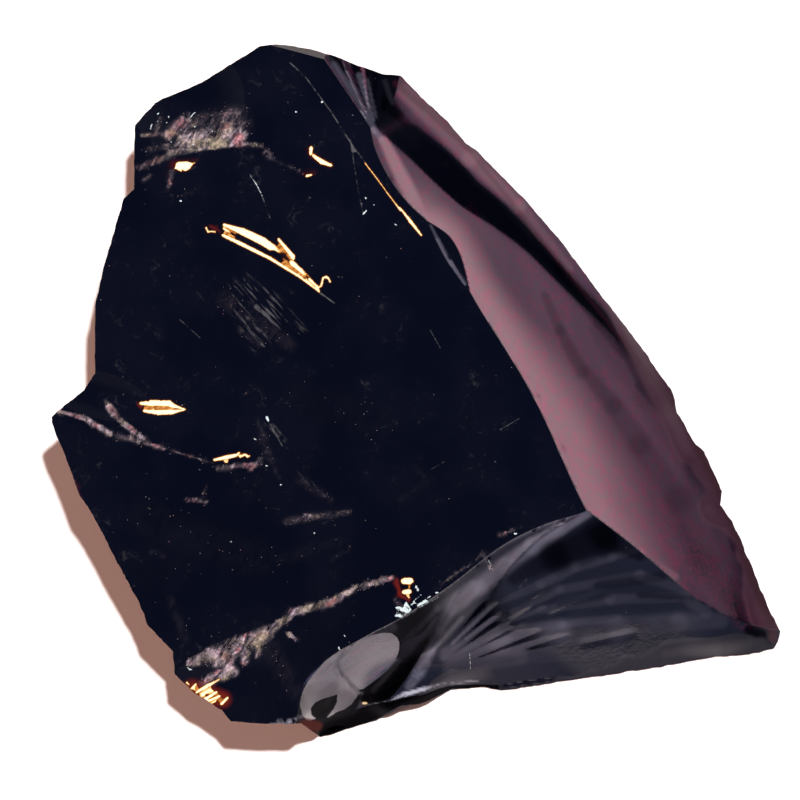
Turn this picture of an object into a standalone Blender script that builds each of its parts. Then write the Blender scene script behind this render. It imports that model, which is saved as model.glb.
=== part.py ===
"""Obsidian chunk: one broken lump of volcanic glass, resting on its flat underside.

The lump is drawn from above. A closed outline gives its plan, a roof of fracture faces gives
the height of its upper surface, and scars that start at the outline undercut its lower surface
down to the flat base. Plan sizes and heights are in millimetres, and the mesh is in metres.
"""

import bmesh
import bpy
import numpy as np
from mathutils import Vector
from mathutils.geometry import delaunay_2d_cdt

MM = 0.001

# ------------------------------------------------------------------ driving dimensions, mm

TOP_SPACING = 1.28  # between mesh points on the upper surface
UNDER_SPACING = 1.9  # between mesh points on the lower surface
RIM_SPACING = 1.35  # longest mesh edge along the outline
THINNEST_RIM = 0.8  # least height of the upper surface

# The outline, clockwise from the top of the plan, as (x, y).
OUTLINE = [
    (-18.5, 40.9), (-16.7, 41.2), (-14.9, 41.0), (-12.5, 40.6), (-10.1, 39.9), (-7.6, 38.9),
    (-5.8, 38.3), (-4.0, 37.7), (-1.9, 37.5), (0.4, 35.2), (2.3, 33.5), (3.9, 32.0),
    (5.1, 30.6), (5.9, 29.6), (7.4, 28.6), (9.4, 26.5), (12.9, 23.0), (17.2, 18.1),
    (22.6, 10.9), (24.9, 8.0), (27.9, 4.1), (30.5, 0.4), (31.1, -1.2), (31.3, -2.6),
    (33.0, -5.0), (33.6, -6.4), (34.6, -7.3), (35.3, -9.0), (36.8, -12.0), (36.6, -13.6),
    (38.0, -15.5), (40.1, -20.6), (42.5, -26.5), (43.7, -28.8), (43.6, -30.1), (43.0, -31.0),
    (39.1, -31.7), (36.0, -31.9), (28.7, -33.2), (21.4, -34.3), (17.6, -34.8), (12.7, -35.6),
    (10.3, -35.9), (7.9, -35.5), (4.2, -35.8), (1.7, -37.0), (0.5, -37.5), (-1.8, -37.7),
    (-3.4, -38.5), (-4.7, -39.5), (-7.8, -40.4), (-10.2, -41.2), (-11.5, -41.5),
    (-13.7, -39.6), (-18.0, -39.6), (-22.0, -39.3), (-23.1, -38.0), (-26.4, -35.9),
    (-28.7, -33.7), (-28.9, -31.0), (-31.9, -27.8), (-32.9, -25.1), (-35.2, -20.9),
    (-37.4, -16.6), (-38.9, -13.9), (-39.9, -12.5), (-41.0, -9.5), (-42.1, -6.6),
    (-42.7, -5.2), (-43.2, -3.7), (-43.2, -3.1), (-42.4, -2.3), (-39.4, 0.1), (-38.1, 2.1),
    (-38.1, 10.1), (-37.1, 14.6), (-35.6, 19.8), (-34.7, 22.8), (-33.5, 24.0), (-33.4, 31.5),
    (-31.0, 34.2), (-30.1, 34.7), (-25.7, 36.5),
]

# The broad face on top.
CREST = 20.6  # its height at the middle of the plan
CREST_FALL = 0.06  # how much it falls per millimetre towards +X
CREST_BEND_Y = 8.0  # south of this line it curls down
CREST_BEND = 0.0021  # how fast it curls down
CREST_SWELL = 0.12  # height of its slow ripples
CREST_SWELL_LENGTH = 17.0  # from one ripple to the next
CREST_SWELL_FROM = (-62.0, 30.0)  # the point that the ripples are centred on

CORNER = (20.1, -14.3)  # where the broad face, the right bevel and the front bevel meet
BEYOND_CORNER_FALL = 0.02  # how the bevels' upper edges would fall, run on past the corner
CORNER_EASE = 2.0  # over what length they turn to that fall

# The right bevel. Each list gives, by place along its edge, a distance out from the edge's
# line or a steepness (rise over run).
BEVEL_ALONG = (0.463, -0.886)
BEVEL_EDGE = [(-52.1, -1.5), (-49.9, -2.1), (-45.6, -2.3), (-41.9, -1.7), (-39.3, -0.8),
              (-36.3, 0.0), (-29.3, 0.0), (-22.4, 0.4), (-14.5, 0.7), (-8.8, 0.6), (0.0, 0.0),
              (16.0, -1.8)]
BEVEL_STEEP = [(-52.0, 1.25), (-45.0, 1.4), (-36.0, 1.4), (-28.0, 1.28), (-20.0, 1.22),
               (-10.0, 1.17), (-3.0, 1.12), (3.0, 1.09), (14.0, 1.08), (24.0, 1.0)]
SHELF_FROM = [(-52.0, -1.2), (-46.9, 0.9), (-43.3, 2.1), (-39.1, 3.7), (-35.1, 6.0),
              (-31.0, 8.0), (-26.5, 9.5), (-22.4, 10.8), (-18.3, 12.2), (-13.4, 13.4),
              (-9.0, 14.0), (0.0, 13.9), (10.0, 14.0), (22.0, 11.0)]
SHELF_STEEP = [(-54.0, 0.78), (-40.0, 0.74), (-28.0, 0.76), (-18.0, 0.83), (-8.0, 0.86),
               (10.0, 0.86), (22.0, 0.7)]
LIP_FROM = [(-54.6, 2.8), (-50.7, 3.6), (-45.4, 5.5), (-40.1, 7.3), (-34.0, 9.5), (-31.2, 10.2),
            (-26.0, 11.6), (-20.0, 13.4), (-13.0, 14.9), (-8.0, 15.8), (0.0, 19.0)]
LIP_STEEP = [(-56.0, 1.2), (-40.0, 1.25), (-28.0, 1.25), (-18.0, 1.2), (-8.0, 1.15)]

# The front bevel, in the same way: a scarp, a slope below it and a foot.
FRONT_ALONG = (-0.843, -0.538)
FRONT_EDGE = [(-12.0, 0.0), (0.0, 0.0), (5.0, -1.2), (10.0, -1.8), (19.0, -1.2), (26.0, -1.2),
              (32.0, -1.8), (36.0, -1.6), (39.5, -0.4), (41.9, 2.0)]
SCARP_STEEP = [(0.0, 1.12), (6.0, 1.15), (12.0, 1.25), (19.0, 1.6), (25.0, 1.95), (31.0, 2.3),
               (34.0, 2.1), (38.0, 2.3), (41.0, 3.3)]
SLOPE_FROM = [(-2.0, 0.0), (0.0, 0.2), (5.0, 0.0), (9.0, 0.4), (14.0, 1.6), (20.0, 3.4),
              (25.0, 4.2), (28.5, 2.7), (32.5, 2.6), (35.5, 5.4), (42.0, 6.0)]
SLOPE_STEEP = [(-12.0, 0.58), (-6.0, 0.6), (0.0, 0.73), (6.0, 0.8), (12.0, 0.93), (18.0, 1.06),
               (25.0, 1.15), (28.5, 0.9), (33.0, 0.86), (36.0, 1.1), (42.0, 1.2)]
FOOT_FROM = [(-8.0, 15.5), (-2.0, 15.5), (3.3, 13.0), (9.6, 10.4), (13.9, 8.1), (18.5, 6.8),
             (26.0, 6.0), (40.0, 7.0)]
FOOT_STEEP = [(-10.0, 0.8), (-4.0, 0.82), (3.0, 0.9), (10.0, 0.92), (20.0, 1.1), (27.0, 0.8),
              (42.0, 0.9)]

# Rounded bulges on the front bevel, left by flakes: (along, out), (radii), height.
BULGES = [((31.4, 1.2), (4.3, 3.3), 0.9), ((37.6, 1.6), (3.9, 3.4), 0.8)]

# The fan of ribs at the top of the right bevel.
FAN_APEX = (-5.3, 31.3)
FAN_START = 2.143  # direction, in radians, of the line that it leaves the broad face on
FAN_STEEP = 0.9
FAN_EASE = 0.33  # how much gentler it gets per radian round the apex
RIB_RISE = 0.06  # height of a rib per millimetre from the apex
RIBS_PER_TURN = 27
RIB_PHASE = 2.6
RIBS_CENTRE = 2.0  # direction, in radians, of the tallest rib
RIBS_WIDTH = 0.36

# Small planes cut across the broad face: a point on the cut's edge, its direction, steepness.
TOP_STRIP = ((-16.5, 40.75), (83.0, -20.0), 1.45)
LENS = ((1.0, 19.9), (30.0, -51.0), 0.6)
LENS_BOW = 0.02
LENS_MIDDLE = 3.4

# Shallow scars in the broad face: centre, radii, turn in degrees, depth.
HOLLOWS = [
    ((-27.4, 34.6), (7.0, 6.4), 0.0, 1.5),
    ((-24.0, -34.5), (7.6, 3.9), 24.0, 0.9),
    ((-37.4, -0.6), (7.0, 2.6), -17.0, 0.6),
]

# The sides that the lower surface is scarred from, clockwise: a corner of the plan, the height
# of its rim, and how far in the scar between it and the next corner reaches the base.
SIDES = [
    ((-17.6, 41.1), 20.6, 7.5), ((-1.9, 37.5), 15.2, 6.0), ((8.5, 27.4), 9.0, 4.2),
    ((22.6, 10.9), 4.0, 2.6), ((31.2, -2.3), 1.5, 2.2), ((43.7, -29.0), 1.4, 2.0),
    ((28.7, -33.2), 1.2, 2.0), ((7.7, -35.6), 1.4, 2.4), ((-11.2, -41.4), 1.8, 3.6),
    ((-13.7, -39.6), 13.5, 6.5), ((-22.7, -38.9), 16.9, 8.0), ((-28.9, -32.0), 18.5, 10.0),
    ((-36.0, -19.0), 21.3, 13.5),
    ((-43.2, -3.3), 22.8, 8.5), ((-38.1, 2.1), 22.7, 10.5), ((-37.9, 12.0), 22.7, 9.0),
    ((-33.5, 27.4), 22.4, 7.0), ((-30.6, 34.6), 21.0, 10.0),
]
SCAR_HOLLOW = 0.35  # how much a scar is scooped
SCAR_BELLY = 0.22  # how much further it reaches in its middle than at its ends
SCAR_RIPPLE = 0.035  # height of its ripples, as a share of the rim's height
SCAR_RIPPLE_LENGTH = 5.2
SKIN_LEAST = 0.35  # least gap between the two surfaces away from the rim
BASE_FACE = -1


# ------------------------------------------------------------------ helpers


def curve(points):
    """A smooth function through (place, value) points, straight beyond both ends."""
    place, value = np.array(points, float).T
    slope = np.diff(value) / np.diff(place)
    tangent = np.concatenate([slope[:1], (slope[1:] + slope[:-1]) / 2, slope[-1:]])

    def at(x):
        x = np.asarray(x, float)
        k = np.clip(np.searchsorted(place, x) - 1, 0, len(place) - 2)
        step = place[k + 1] - place[k]
        q = np.clip((x - place[k]) / step, 0, 1)
        from_left = (1 + 2 * q) * value[k] + q * step * tangent[k]
        from_right = (3 - 2 * q) * value[k + 1] - (1 - q) * step * tangent[k + 1]
        inside = (1 - q) ** 2 * from_left + q**2 * from_right
        before = np.minimum(x - place[0], 0) * tangent[0]
        after = np.maximum(x - place[-1], 0) * tangent[-1]
        return inside + before + after

    return at


def bend(x, softness):
    """0 below x = 0 and x above it, with the bend rounded over the softness."""
    return softness * np.logaddexp(0, x / softness)


class Line:
    """A straight line across the plan: distances along it and out to its left."""

    def __init__(self, start, along):
        self.start = np.array(start, float)
        self.along = np.array(along, float) / np.hypot(*along)
        self.out = np.array([-self.along[1], self.along[0]])

    def measure(self, x, y):
        dx = x - self.start[0]
        dy = y - self.start[1]
        along = dx * self.along[0] + dy * self.along[1]
        return along, dx * self.out[0] + dy * self.out[1]

    def point(self, along, out):
        x = self.start[0] + along * self.along[0] + out * self.out[0]
        y = self.start[1] + along * self.along[1] + out * self.out[1]
        return x, y


# ------------------------------------------------------------------ the upper surface

BEVEL_LINE = Line(CORNER, BEVEL_ALONG)
FRONT_LINE = Line(CORNER, FRONT_ALONG)

bevel_edge = curve(BEVEL_EDGE)
bevel_steep = curve(BEVEL_STEEP)
shelf_from = curve(SHELF_FROM)
shelf_steep = curve(SHELF_STEEP)
lip_from = curve(LIP_FROM)
lip_steep = curve(LIP_STEEP)
front_edge = curve(FRONT_EDGE)
scarp_steep = curve(SCARP_STEEP)
slope_from = curve(SLOPE_FROM)
slope_steep = curve(SLOPE_STEEP)
foot_from = curve(FOOT_FROM)
foot_steep = curve(FOOT_STEEP)


def plain_crest(x, y):
    curl = CREST_BEND * np.minimum(y - CREST_BEND_Y, 0) ** 2
    return CREST - CREST_FALL * x - curl


def broad_face(x, y):
    """The big face on top: nearly level, curling down towards the front, faintly rippled."""
    reach = np.hypot(x - CREST_SWELL_FROM[0], y - CREST_SWELL_FROM[1])
    return plain_crest(x, y) + CREST_SWELL * np.sin(2 * np.pi * reach / CREST_SWELL_LENGTH)


def right_bevel(x, y):
    """The long concave scar down the right side, with a shelf and a lip below it."""
    along, out = BEVEL_LINE.measure(x, y)
    edge = bevel_edge(along)
    steep = bevel_steep(along)
    shelf = shelf_steep(along)
    lip = lip_steep(along)
    crisp = 0.12 + 0.012 * np.maximum(along + 40, 0)
    drop = steep * (out - edge)
    drop = drop + (shelf - steep) * bend(out - shelf_from(along), crisp)
    drop = drop + (lip - shelf) * bend(out - lip_from(along), 0.45)
    beyond = bend(along, CORNER_EASE)
    start = plain_crest(*BEVEL_LINE.point(along - beyond, edge))
    return start - BEYOND_CORNER_FALL * beyond - drop


def front_bevel(x, y):
    """The scars along the front: a steep scarp, a slope and a foot that meets the rim."""
    along, out = FRONT_LINE.measure(x, y)
    edge = front_edge(along)
    scarp = scarp_steep(along)
    slope = slope_steep(along)
    foot = foot_steep(along)
    drop = scarp * (out - edge)
    drop = drop + (slope - scarp) * bend(out - slope_from(along), 0.25)
    drop = drop + (foot - slope) * bend(out - foot_from(along), 0.35)
    beyond = bend(-along, CORNER_EASE)
    start = plain_crest(*FRONT_LINE.point(along + beyond, edge))
    height = start - BEYOND_CORNER_FALL * beyond - drop
    for (middle, down), (half_length, half_width), rise in BULGES:
        far = np.hypot((along - middle) / half_length, (out - down) / half_width)
        height = height + rise * np.maximum(1 - far**2, 0)
    return height


def fan(x, y):
    """Ribs that spread from one point, where the flake that left the right bevel began."""
    turn = np.arctan2(y - FAN_APEX[1], x - FAN_APEX[0])
    reach = np.hypot(x - FAN_APEX[0], y - FAN_APEX[1])
    from_start = (FAN_START - turn + np.pi) % (2 * np.pi) - np.pi
    fall = FAN_STEEP * np.sin(from_start) * (1 - FAN_EASE * np.maximum(from_start, 0))
    height_of_ribs = RIB_RISE * np.exp(-(((turn - RIBS_CENTRE) / RIBS_WIDTH) ** 2))
    ribs = height_of_ribs * np.cos(RIBS_PER_TURN * turn + RIB_PHASE)
    return plain_crest(*FAN_APEX) - reach * (fall - ribs)


def plane_cut(x, y, start, along, steep):
    line = Line(start, along)
    place, out = line.measure(x, y)
    return plain_crest(*line.point(place, 0)) - steep * out


def lens(x, y):
    """A thin curved facet beside the right bevel's upper edge."""
    start, along, steep = LENS
    place, out = Line(start, along).measure(x, y)
    bow = LENS_BOW * (place - LENS_MIDDLE) ** 2
    return plain_crest(x, y) - steep * (out - bow + 0.1)


def hollow(x, y, centre, radii, turn, depth):
    cosine = np.cos(np.radians(turn))
    sine = np.sin(np.radians(turn))
    dx = x - centre[0]
    dy = y - centre[1]
    long_way = (dx * cosine + dy * sine) / radii[0]
    short_way = (dy * cosine - dx * sine) / radii[1]
    return plain_crest(x, y) - depth * (1 - long_way**2 - short_way**2)


def upper_surface(x, y):
    """Height of the upper surface, and which face gives it."""
    faces = [broad_face(x, y), right_bevel(x, y), front_bevel(x, y), fan(x, y)]
    faces += [plane_cut(x, y, *TOP_STRIP), lens(x, y)]
    faces += [hollow(x, y, *scar) for scar in HOLLOWS]
    heights = np.stack(faces)
    return np.maximum(heights.min(axis=0), THINNEST_RIM), heights.argmin(axis=0)


# ------------------------------------------------------------------ the lower surface


def undercut(x, y, side, next_side):
    """A scooped scar that starts at one side of the plan and dies out at the base."""
    (corner, rim, reach), (next_corner, next_rim, _) = side, next_side
    corner = np.array(corner)
    span = np.array(next_corner) - corner
    share = ((x - corner[0]) * span[0] + (y - corner[1]) * span[1]) / span.dot(span)
    share = np.clip(share, 0, 1)
    away = np.hypot(x - corner[0] - share * span[0], y - corner[1] - share * span[1])
    q = away / (reach * (1 - SCAR_BELLY + SCAR_BELLY * np.sin(np.pi * share)))
    rim_height = rim + (next_rim - rim) * share
    middle = corner + span / 2
    ring = np.hypot(x - middle[0], y - middle[1])
    fade = np.clip(4 * q * (1 - q), 0, 1)
    ripple = SCAR_RIPPLE * fade * np.sin(2 * np.pi * ring / SCAR_RIPPLE_LENGTH)
    return rim_height * ((1 - q) * (1 - SCAR_HOLLOW * np.minimum(q, 1)) + ripple)


def lower_surface(x, y):
    """Height of the lower surface, and which scar gives it, or BASE_FACE."""
    scars = [undercut(x, y, SIDES[k - 1], SIDES[k]) for k in range(len(SIDES))]
    heights = np.stack(scars)
    highest = heights.max(axis=0)
    which = np.where(highest > 0, heights.argmax(axis=0), BASE_FACE)
    ceiling = upper_surface(x, y)[0] - SKIN_LEAST
    return np.clip(highest, 0, np.maximum(ceiling, 0)), which


# ------------------------------------------------------------------ the mesh


def rim_points(longest):
    """The outline, with points added on its long stretches."""
    points = []
    for k, start in enumerate(OUTLINE):
        end = OUTLINE[(k + 1) % len(OUTLINE)]
        pieces = max(1, int(np.ceil(np.hypot(end[0] - start[0], end[1] - start[1]) / longest)))
        for n in range(pieces):
            share = n / pieces
            points.append((start[0] + (end[0] - start[0]) * share,
                           start[1] + (end[1] - start[1]) * share))
    return np.array(points)


def distance_inside(points, ring):
    """Distance from each point to the closed ring, negative outside it."""
    nearest = np.full(len(points), np.inf)
    inside = np.zeros(len(points), bool)
    for start, end in zip(ring, np.roll(ring, -1, axis=0)):
        span = end - start
        share = np.clip(((points - start) @ span) / (span @ span), 0, 1)
        gap = points - start - share[:, None] * span
        nearest = np.minimum(nearest, np.hypot(gap[:, 0], gap[:, 1]))
        crosses = (start[1] > points[:, 1]) != (end[1] > points[:, 1])
        rise = span[1] if span[1] else 1.0
        left = points[:, 0] < start[0] + span[0] * (points[:, 1] - start[1]) / rise
        inside ^= crosses & left
    return np.where(inside, nearest, -nearest)


def grid_points(spacing, ring):
    """Points of a triangular grid that lie well inside the ring."""
    row = spacing * np.sqrt(3) / 2
    low = ring.min(axis=0)
    high = ring.max(axis=0)
    ys = np.arange(low[1], high[1], row)
    xs = np.arange(low[0], high[0] + spacing, spacing)
    x, y = np.meshgrid(xs, ys)
    x = x + (np.arange(len(ys)) % 2)[:, None] * spacing / 2
    points = np.stack([x.ravel(), y.ravel()], axis=1)
    return points[distance_inside(points, ring) > 0.6 * spacing]


def triangulate(points, ring_size, creases):
    """Delaunay triangles inside the ring, with an edge along every crease."""
    ring = list(range(ring_size))
    found = delaunay_2d_cdt([Vector(p) for p in points], creases, [ring], 1, 1e-5)
    flat = np.array([tuple(v) for v in found[0]])
    faces = np.array([list(f) for f in found[2]])
    corners = flat[faces]
    first = corners[:, 1] - corners[:, 0]
    second = corners[:, 2] - corners[:, 0]
    turn = first[:, 0] * second[:, 1] - first[:, 1] * second[:, 0]
    faces[turn < 0] = faces[turn < 0][:, ::-1]
    rim_at = {}
    for new, olds in enumerate(found[3]):
        for old in olds:
            if old < ring_size:
                rim_at[old] = new
    return flat, faces, [rim_at[k] for k in ring]


def crease_lines(surface, points, faces, ring_size):
    """Points moved or added where two faces of the surface meet, and the edges between them."""
    which = surface(*points.T)[1]
    edges = np.sort(np.concatenate([faces[:, [0, 1]], faces[:, [1, 2]], faces[:, [2, 0]]]), axis=1)
    edges, of_face = np.unique(edges, axis=0, return_inverse=True)
    of_face = of_face.reshape(3, -1).T
    crossed = which[edges[:, 0]] != which[edges[:, 1]]
    a, b = edges[crossed].T
    low, high = np.zeros(len(a)), np.ones(len(a))
    for _ in range(14):
        middle = (low + high) / 2
        x, y = (points[a] + middle[:, None] * (points[b] - points[a])).T
        same = surface(x, y)[1] == which[a]
        low, high = np.where(same, middle, low), np.where(same, high, middle)
    share = (low + high) / 2
    place = points[a] + share[:, None] * (points[b] - points[a])
    moved = points.copy()
    least = np.full(len(points), np.inf)
    stands_for = np.full(len(edges), -1)
    added = []
    for k, edge in enumerate(np.flatnonzero(crossed)):
        near = a[k] if share[k] < 0.5 else b[k]
        off = min(share[k], 1 - share[k])
        on_rim = a[k] < ring_size and b[k] < ring_size
        if off < 0.35 or on_rim:
            stands_for[edge] = near
            if near >= ring_size and off < least[near]:
                least[near] = off
                moved[near] = place[k]
        else:
            stands_for[edge] = len(points) + len(added)
            added.append(place[k])
    creases = set()
    for row in stands_for[of_face]:
        ends = sorted({int(v) for v in row if v >= 0})
        if len(ends) == 2:
            creases.add(tuple(ends))
        elif len(ends) == 3:
            centre = len(points) + len(added)
            corners = [moved[v] if v < len(points) else added[v - len(points)] for v in ends]
            added.append(np.mean(corners, axis=0))
            creases.update((v, centre) for v in ends)
    if added:
        moved = np.concatenate([moved, np.array(added)])
    return moved, sorted(creases)


def surface_mesh(surface, rim, spacing):
    """Plan points, triangles and rim numbers of one surface, with edges along its creases."""
    points = np.concatenate([rim, grid_points(spacing, rim)])
    flat, faces, order = triangulate(points, len(rim), [])
    rest = np.setdiff1d(np.arange(len(flat)), order)
    new_number = np.empty(len(flat), int)
    new_number[np.concatenate([order, rest])] = np.arange(len(flat))
    flat, faces = flat[np.concatenate([order, rest])], new_number[faces]
    moved, creases = crease_lines(surface, flat, faces, len(rim))
    return triangulate(moved, len(rim), creases)


def build_chunk():
    """Both surfaces joined along the rim, with the box's middle over the origin."""
    rim = rim_points(RIM_SPACING)
    top, top_faces, top_rim = surface_mesh(upper_surface, rim, TOP_SPACING)
    under, under_faces, under_rim = surface_mesh(lower_surface, rim, UNDER_SPACING)
    centre = (rim.min(axis=0) + rim.max(axis=0)) / 2
    body = bmesh.new()
    heights = upper_surface(*top.T)[0]
    upper = [body.verts.new((*((p - centre) * MM), z * MM)) for p, z in zip(top, heights)]
    shared = dict(zip(under_rim, top_rim))
    heights = lower_surface(*under.T)[0]
    lower = []
    for k, (p, z) in enumerate(zip(under, heights)):
        if k in shared:
            lower.append(upper[shared[k]])
        else:
            lower.append(body.verts.new((*((p - centre) * MM), z * MM)))
    for face in top_faces:
        body.faces.new([upper[k] for k in face])
    for face in under_faces:
        body.faces.new([lower[k] for k in face[::-1]])
    mesh = bpy.data.meshes.new("obsidian_chunk")
    body.to_mesh(mesh)
    body.free()
    return mesh


# ------------------------------------------------------------------ the scene


def obsidian():
    """Black volcanic glass."""
    material = bpy.data.materials.new("obsidian")
    material.use_nodes = True
    shader = material.node_tree.nodes["Principled BSDF"]
    shader.inputs["Base Color"].default_value = (0.01, 0.01, 0.018, 1.0)
    shader.inputs["Roughness"].default_value = 0.08
    shader.inputs["Metallic"].default_value = 0.0
    shader.inputs["IOR"].default_value = 1.5
    return material


def main():
    for old in list(bpy.data.objects):
        bpy.data.objects.remove(old, do_unlink=True)
    mesh = build_chunk()
    mesh.materials.append(obsidian())
    chunk = bpy.data.objects.new("obsidian_chunk", mesh)
    bpy.context.scene.collection.objects.link(chunk)


main()
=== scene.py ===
"""Obsidian chunk, dressed: broken volcanic glass with its ripples, chips and dust, and with painted
glints, reflections and shade.

Every face is given by the same named dimensions as in the part's own source, and this script
lays a finer mesh over them with the small relief that the solid leaves out. Plan sizes and
heights are in millimetres, and the mesh is in metres.
"""

import bpy
import numpy as np
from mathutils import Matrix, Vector
from mathutils.geometry import delaunay_2d_cdt


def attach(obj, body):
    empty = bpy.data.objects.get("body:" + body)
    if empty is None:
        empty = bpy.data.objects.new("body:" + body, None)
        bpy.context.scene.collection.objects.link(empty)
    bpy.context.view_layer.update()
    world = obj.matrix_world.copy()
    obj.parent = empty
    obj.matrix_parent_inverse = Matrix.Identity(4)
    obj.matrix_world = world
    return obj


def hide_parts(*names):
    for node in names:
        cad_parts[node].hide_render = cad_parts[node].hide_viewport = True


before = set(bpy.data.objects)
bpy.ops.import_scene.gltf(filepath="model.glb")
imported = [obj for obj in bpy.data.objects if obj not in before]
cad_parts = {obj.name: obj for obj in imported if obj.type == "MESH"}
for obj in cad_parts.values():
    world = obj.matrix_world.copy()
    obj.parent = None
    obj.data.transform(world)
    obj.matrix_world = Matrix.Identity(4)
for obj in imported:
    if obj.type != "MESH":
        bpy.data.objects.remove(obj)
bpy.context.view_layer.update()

MM = 0.001

# ------------------------------------------------------------------ the faces' sizes, mm

THINNEST_RIM = 0.8  # least height of the upper surface
# The outline, clockwise from the top of the plan, as (x, y).
OUTLINE = [
    (-18.5, 40.9), (-16.7, 41.2), (-14.9, 41.0), (-12.5, 40.6), (-10.1, 39.9), (-7.6, 38.9),
    (-5.8, 38.3), (-4.0, 37.7), (-1.9, 37.5), (0.4, 35.2), (2.3, 33.5), (3.9, 32.0),
    (5.1, 30.6), (5.9, 29.6), (7.4, 28.6), (9.4, 26.5), (12.9, 23.0), (17.2, 18.1),
    (22.6, 10.9), (24.9, 8.0), (27.9, 4.1), (30.5, 0.4), (31.1, -1.2), (31.3, -2.6),
    (33.0, -5.0), (33.6, -6.4), (34.6, -7.3), (35.3, -9.0), (36.8, -12.0), (36.6, -13.6),
    (38.0, -15.5), (40.1, -20.6), (42.5, -26.5), (43.7, -28.8), (43.6, -30.1), (43.0, -31.0),
    (39.1, -31.7), (36.0, -31.9), (28.7, -33.2), (21.4, -34.3), (17.6, -34.8), (12.7, -35.6),
    (10.3, -35.9), (7.9, -35.5), (4.2, -35.8), (1.7, -37.0), (0.5, -37.5), (-1.8, -37.7),
    (-3.4, -38.5), (-4.7, -39.5), (-7.8, -40.4), (-10.2, -41.2), (-11.5, -41.5),
    (-13.7, -39.6), (-18.0, -39.6), (-22.0, -39.3), (-23.1, -38.0), (-26.4, -35.9),
    (-28.7, -33.7), (-28.9, -31.0), (-31.9, -27.8), (-32.9, -25.1), (-35.2, -20.9),
    (-37.4, -16.6), (-38.9, -13.9), (-39.9, -12.5), (-41.0, -9.5), (-42.1, -6.6),
    (-42.7, -5.2), (-43.2, -3.7), (-43.2, -3.1), (-42.4, -2.3), (-39.4, 0.1), (-38.1, 2.1),
    (-38.1, 10.1), (-37.1, 14.6), (-35.6, 19.8), (-34.7, 22.8), (-33.5, 24.0), (-33.4, 31.5),
    (-31.0, 34.2), (-30.1, 34.7), (-25.7, 36.5),
]

# The broad face on top.
CREST = 20.6  # its height at the middle of the plan
CREST_FALL = 0.06  # how much it falls per millimetre towards +X
CREST_BEND_Y = 8.0  # south of this line it curls down
CREST_BEND = 0.0021  # how fast it curls down
CREST_SWELL = 0.12  # height of its slow ripples
CREST_SWELL_LENGTH = 17.0  # from one ripple to the next
CREST_SWELL_FROM = (-62.0, 30.0)  # the point that the ripples are centred on

CORNER = (20.1, -14.3)  # where the broad face, the right bevel and the front bevel meet
BEYOND_CORNER_FALL = 0.02  # how the bevels' upper edges would fall, run on past the corner
CORNER_EASE = 2.0  # over what length they turn to that fall

# The right bevel. Each list gives, by place along its edge, a distance out from the edge's
# line or a steepness (rise over run).
BEVEL_ALONG = (0.463, -0.886)
BEVEL_EDGE = [(-52.1, -1.5), (-49.9, -2.1), (-45.6, -2.3), (-41.9, -1.7), (-39.3, -0.8),
              (-36.3, 0.0), (-29.3, 0.0), (-22.4, 0.4), (-14.5, 0.7), (-8.8, 0.6), (0.0, 0.0),
              (16.0, -1.8)]
BEVEL_STEEP = [(-52.0, 1.25), (-45.0, 1.4), (-36.0, 1.4), (-28.0, 1.28), (-20.0, 1.22),
               (-10.0, 1.17), (-3.0, 1.12), (3.0, 1.09), (14.0, 1.08), (24.0, 1.0)]
SHELF_FROM = [(-52.0, -1.2), (-46.9, 0.9), (-43.3, 2.1), (-39.1, 3.7), (-35.1, 6.0),
              (-31.0, 8.0), (-26.5, 9.5), (-22.4, 10.8), (-18.3, 12.2), (-13.4, 13.4),
              (-9.0, 14.0), (0.0, 13.9), (10.0, 14.0), (22.0, 11.0)]
SHELF_STEEP = [(-54.0, 0.78), (-40.0, 0.74), (-28.0, 0.76), (-18.0, 0.83), (-8.0, 0.86),
               (10.0, 0.86), (22.0, 0.7)]
LIP_FROM = [(-54.6, 2.8), (-50.7, 3.6), (-45.4, 5.5), (-40.1, 7.3), (-34.0, 9.5), (-31.2, 10.2),
            (-26.0, 11.6), (-20.0, 13.4), (-13.0, 14.9), (-8.0, 15.8), (0.0, 19.0)]
LIP_STEEP = [(-56.0, 1.2), (-40.0, 1.25), (-28.0, 1.25), (-18.0, 1.2), (-8.0, 1.15)]

# The front bevel, in the same way: a scarp, a slope below it and a foot.
FRONT_ALONG = (-0.843, -0.538)
FRONT_EDGE = [(-12.0, 0.0), (0.0, 0.0), (5.0, -1.2), (10.0, -1.8), (19.0, -1.2), (26.0, -1.2),
              (32.0, -1.8), (36.0, -1.6), (39.5, -0.4), (41.9, 2.0)]
SCARP_STEEP = [(0.0, 1.12), (6.0, 1.15), (12.0, 1.25), (19.0, 1.6), (25.0, 1.95), (31.0, 2.3),
               (34.0, 2.1), (38.0, 2.3), (41.0, 3.3)]
SLOPE_FROM = [(-2.0, 0.0), (0.0, 0.2), (5.0, 0.0), (9.0, 0.4), (14.0, 1.6), (20.0, 3.4),
              (25.0, 4.2), (28.5, 2.7), (32.5, 2.6), (35.5, 5.4), (42.0, 6.0)]
SLOPE_STEEP = [(-12.0, 0.58), (-6.0, 0.6), (0.0, 0.73), (6.0, 0.8), (12.0, 0.93), (18.0, 1.06),
               (25.0, 1.15), (28.5, 0.9), (33.0, 0.86), (36.0, 1.1), (42.0, 1.2)]
FOOT_FROM = [(-8.0, 15.5), (-2.0, 15.5), (3.3, 13.0), (9.6, 10.4), (13.9, 8.1), (18.5, 6.8),
             (26.0, 6.0), (40.0, 7.0)]
FOOT_STEEP = [(-10.0, 0.8), (-4.0, 0.82), (3.0, 0.9), (10.0, 0.92), (20.0, 1.1), (27.0, 0.8),
              (42.0, 0.9)]

# Rounded bulges on the front bevel, left by flakes: (along, out), (radii), height.
BULGES = [((31.4, 1.2), (4.3, 3.3), 0.9), ((37.6, 1.6), (3.9, 3.4), 0.8)]

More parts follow.
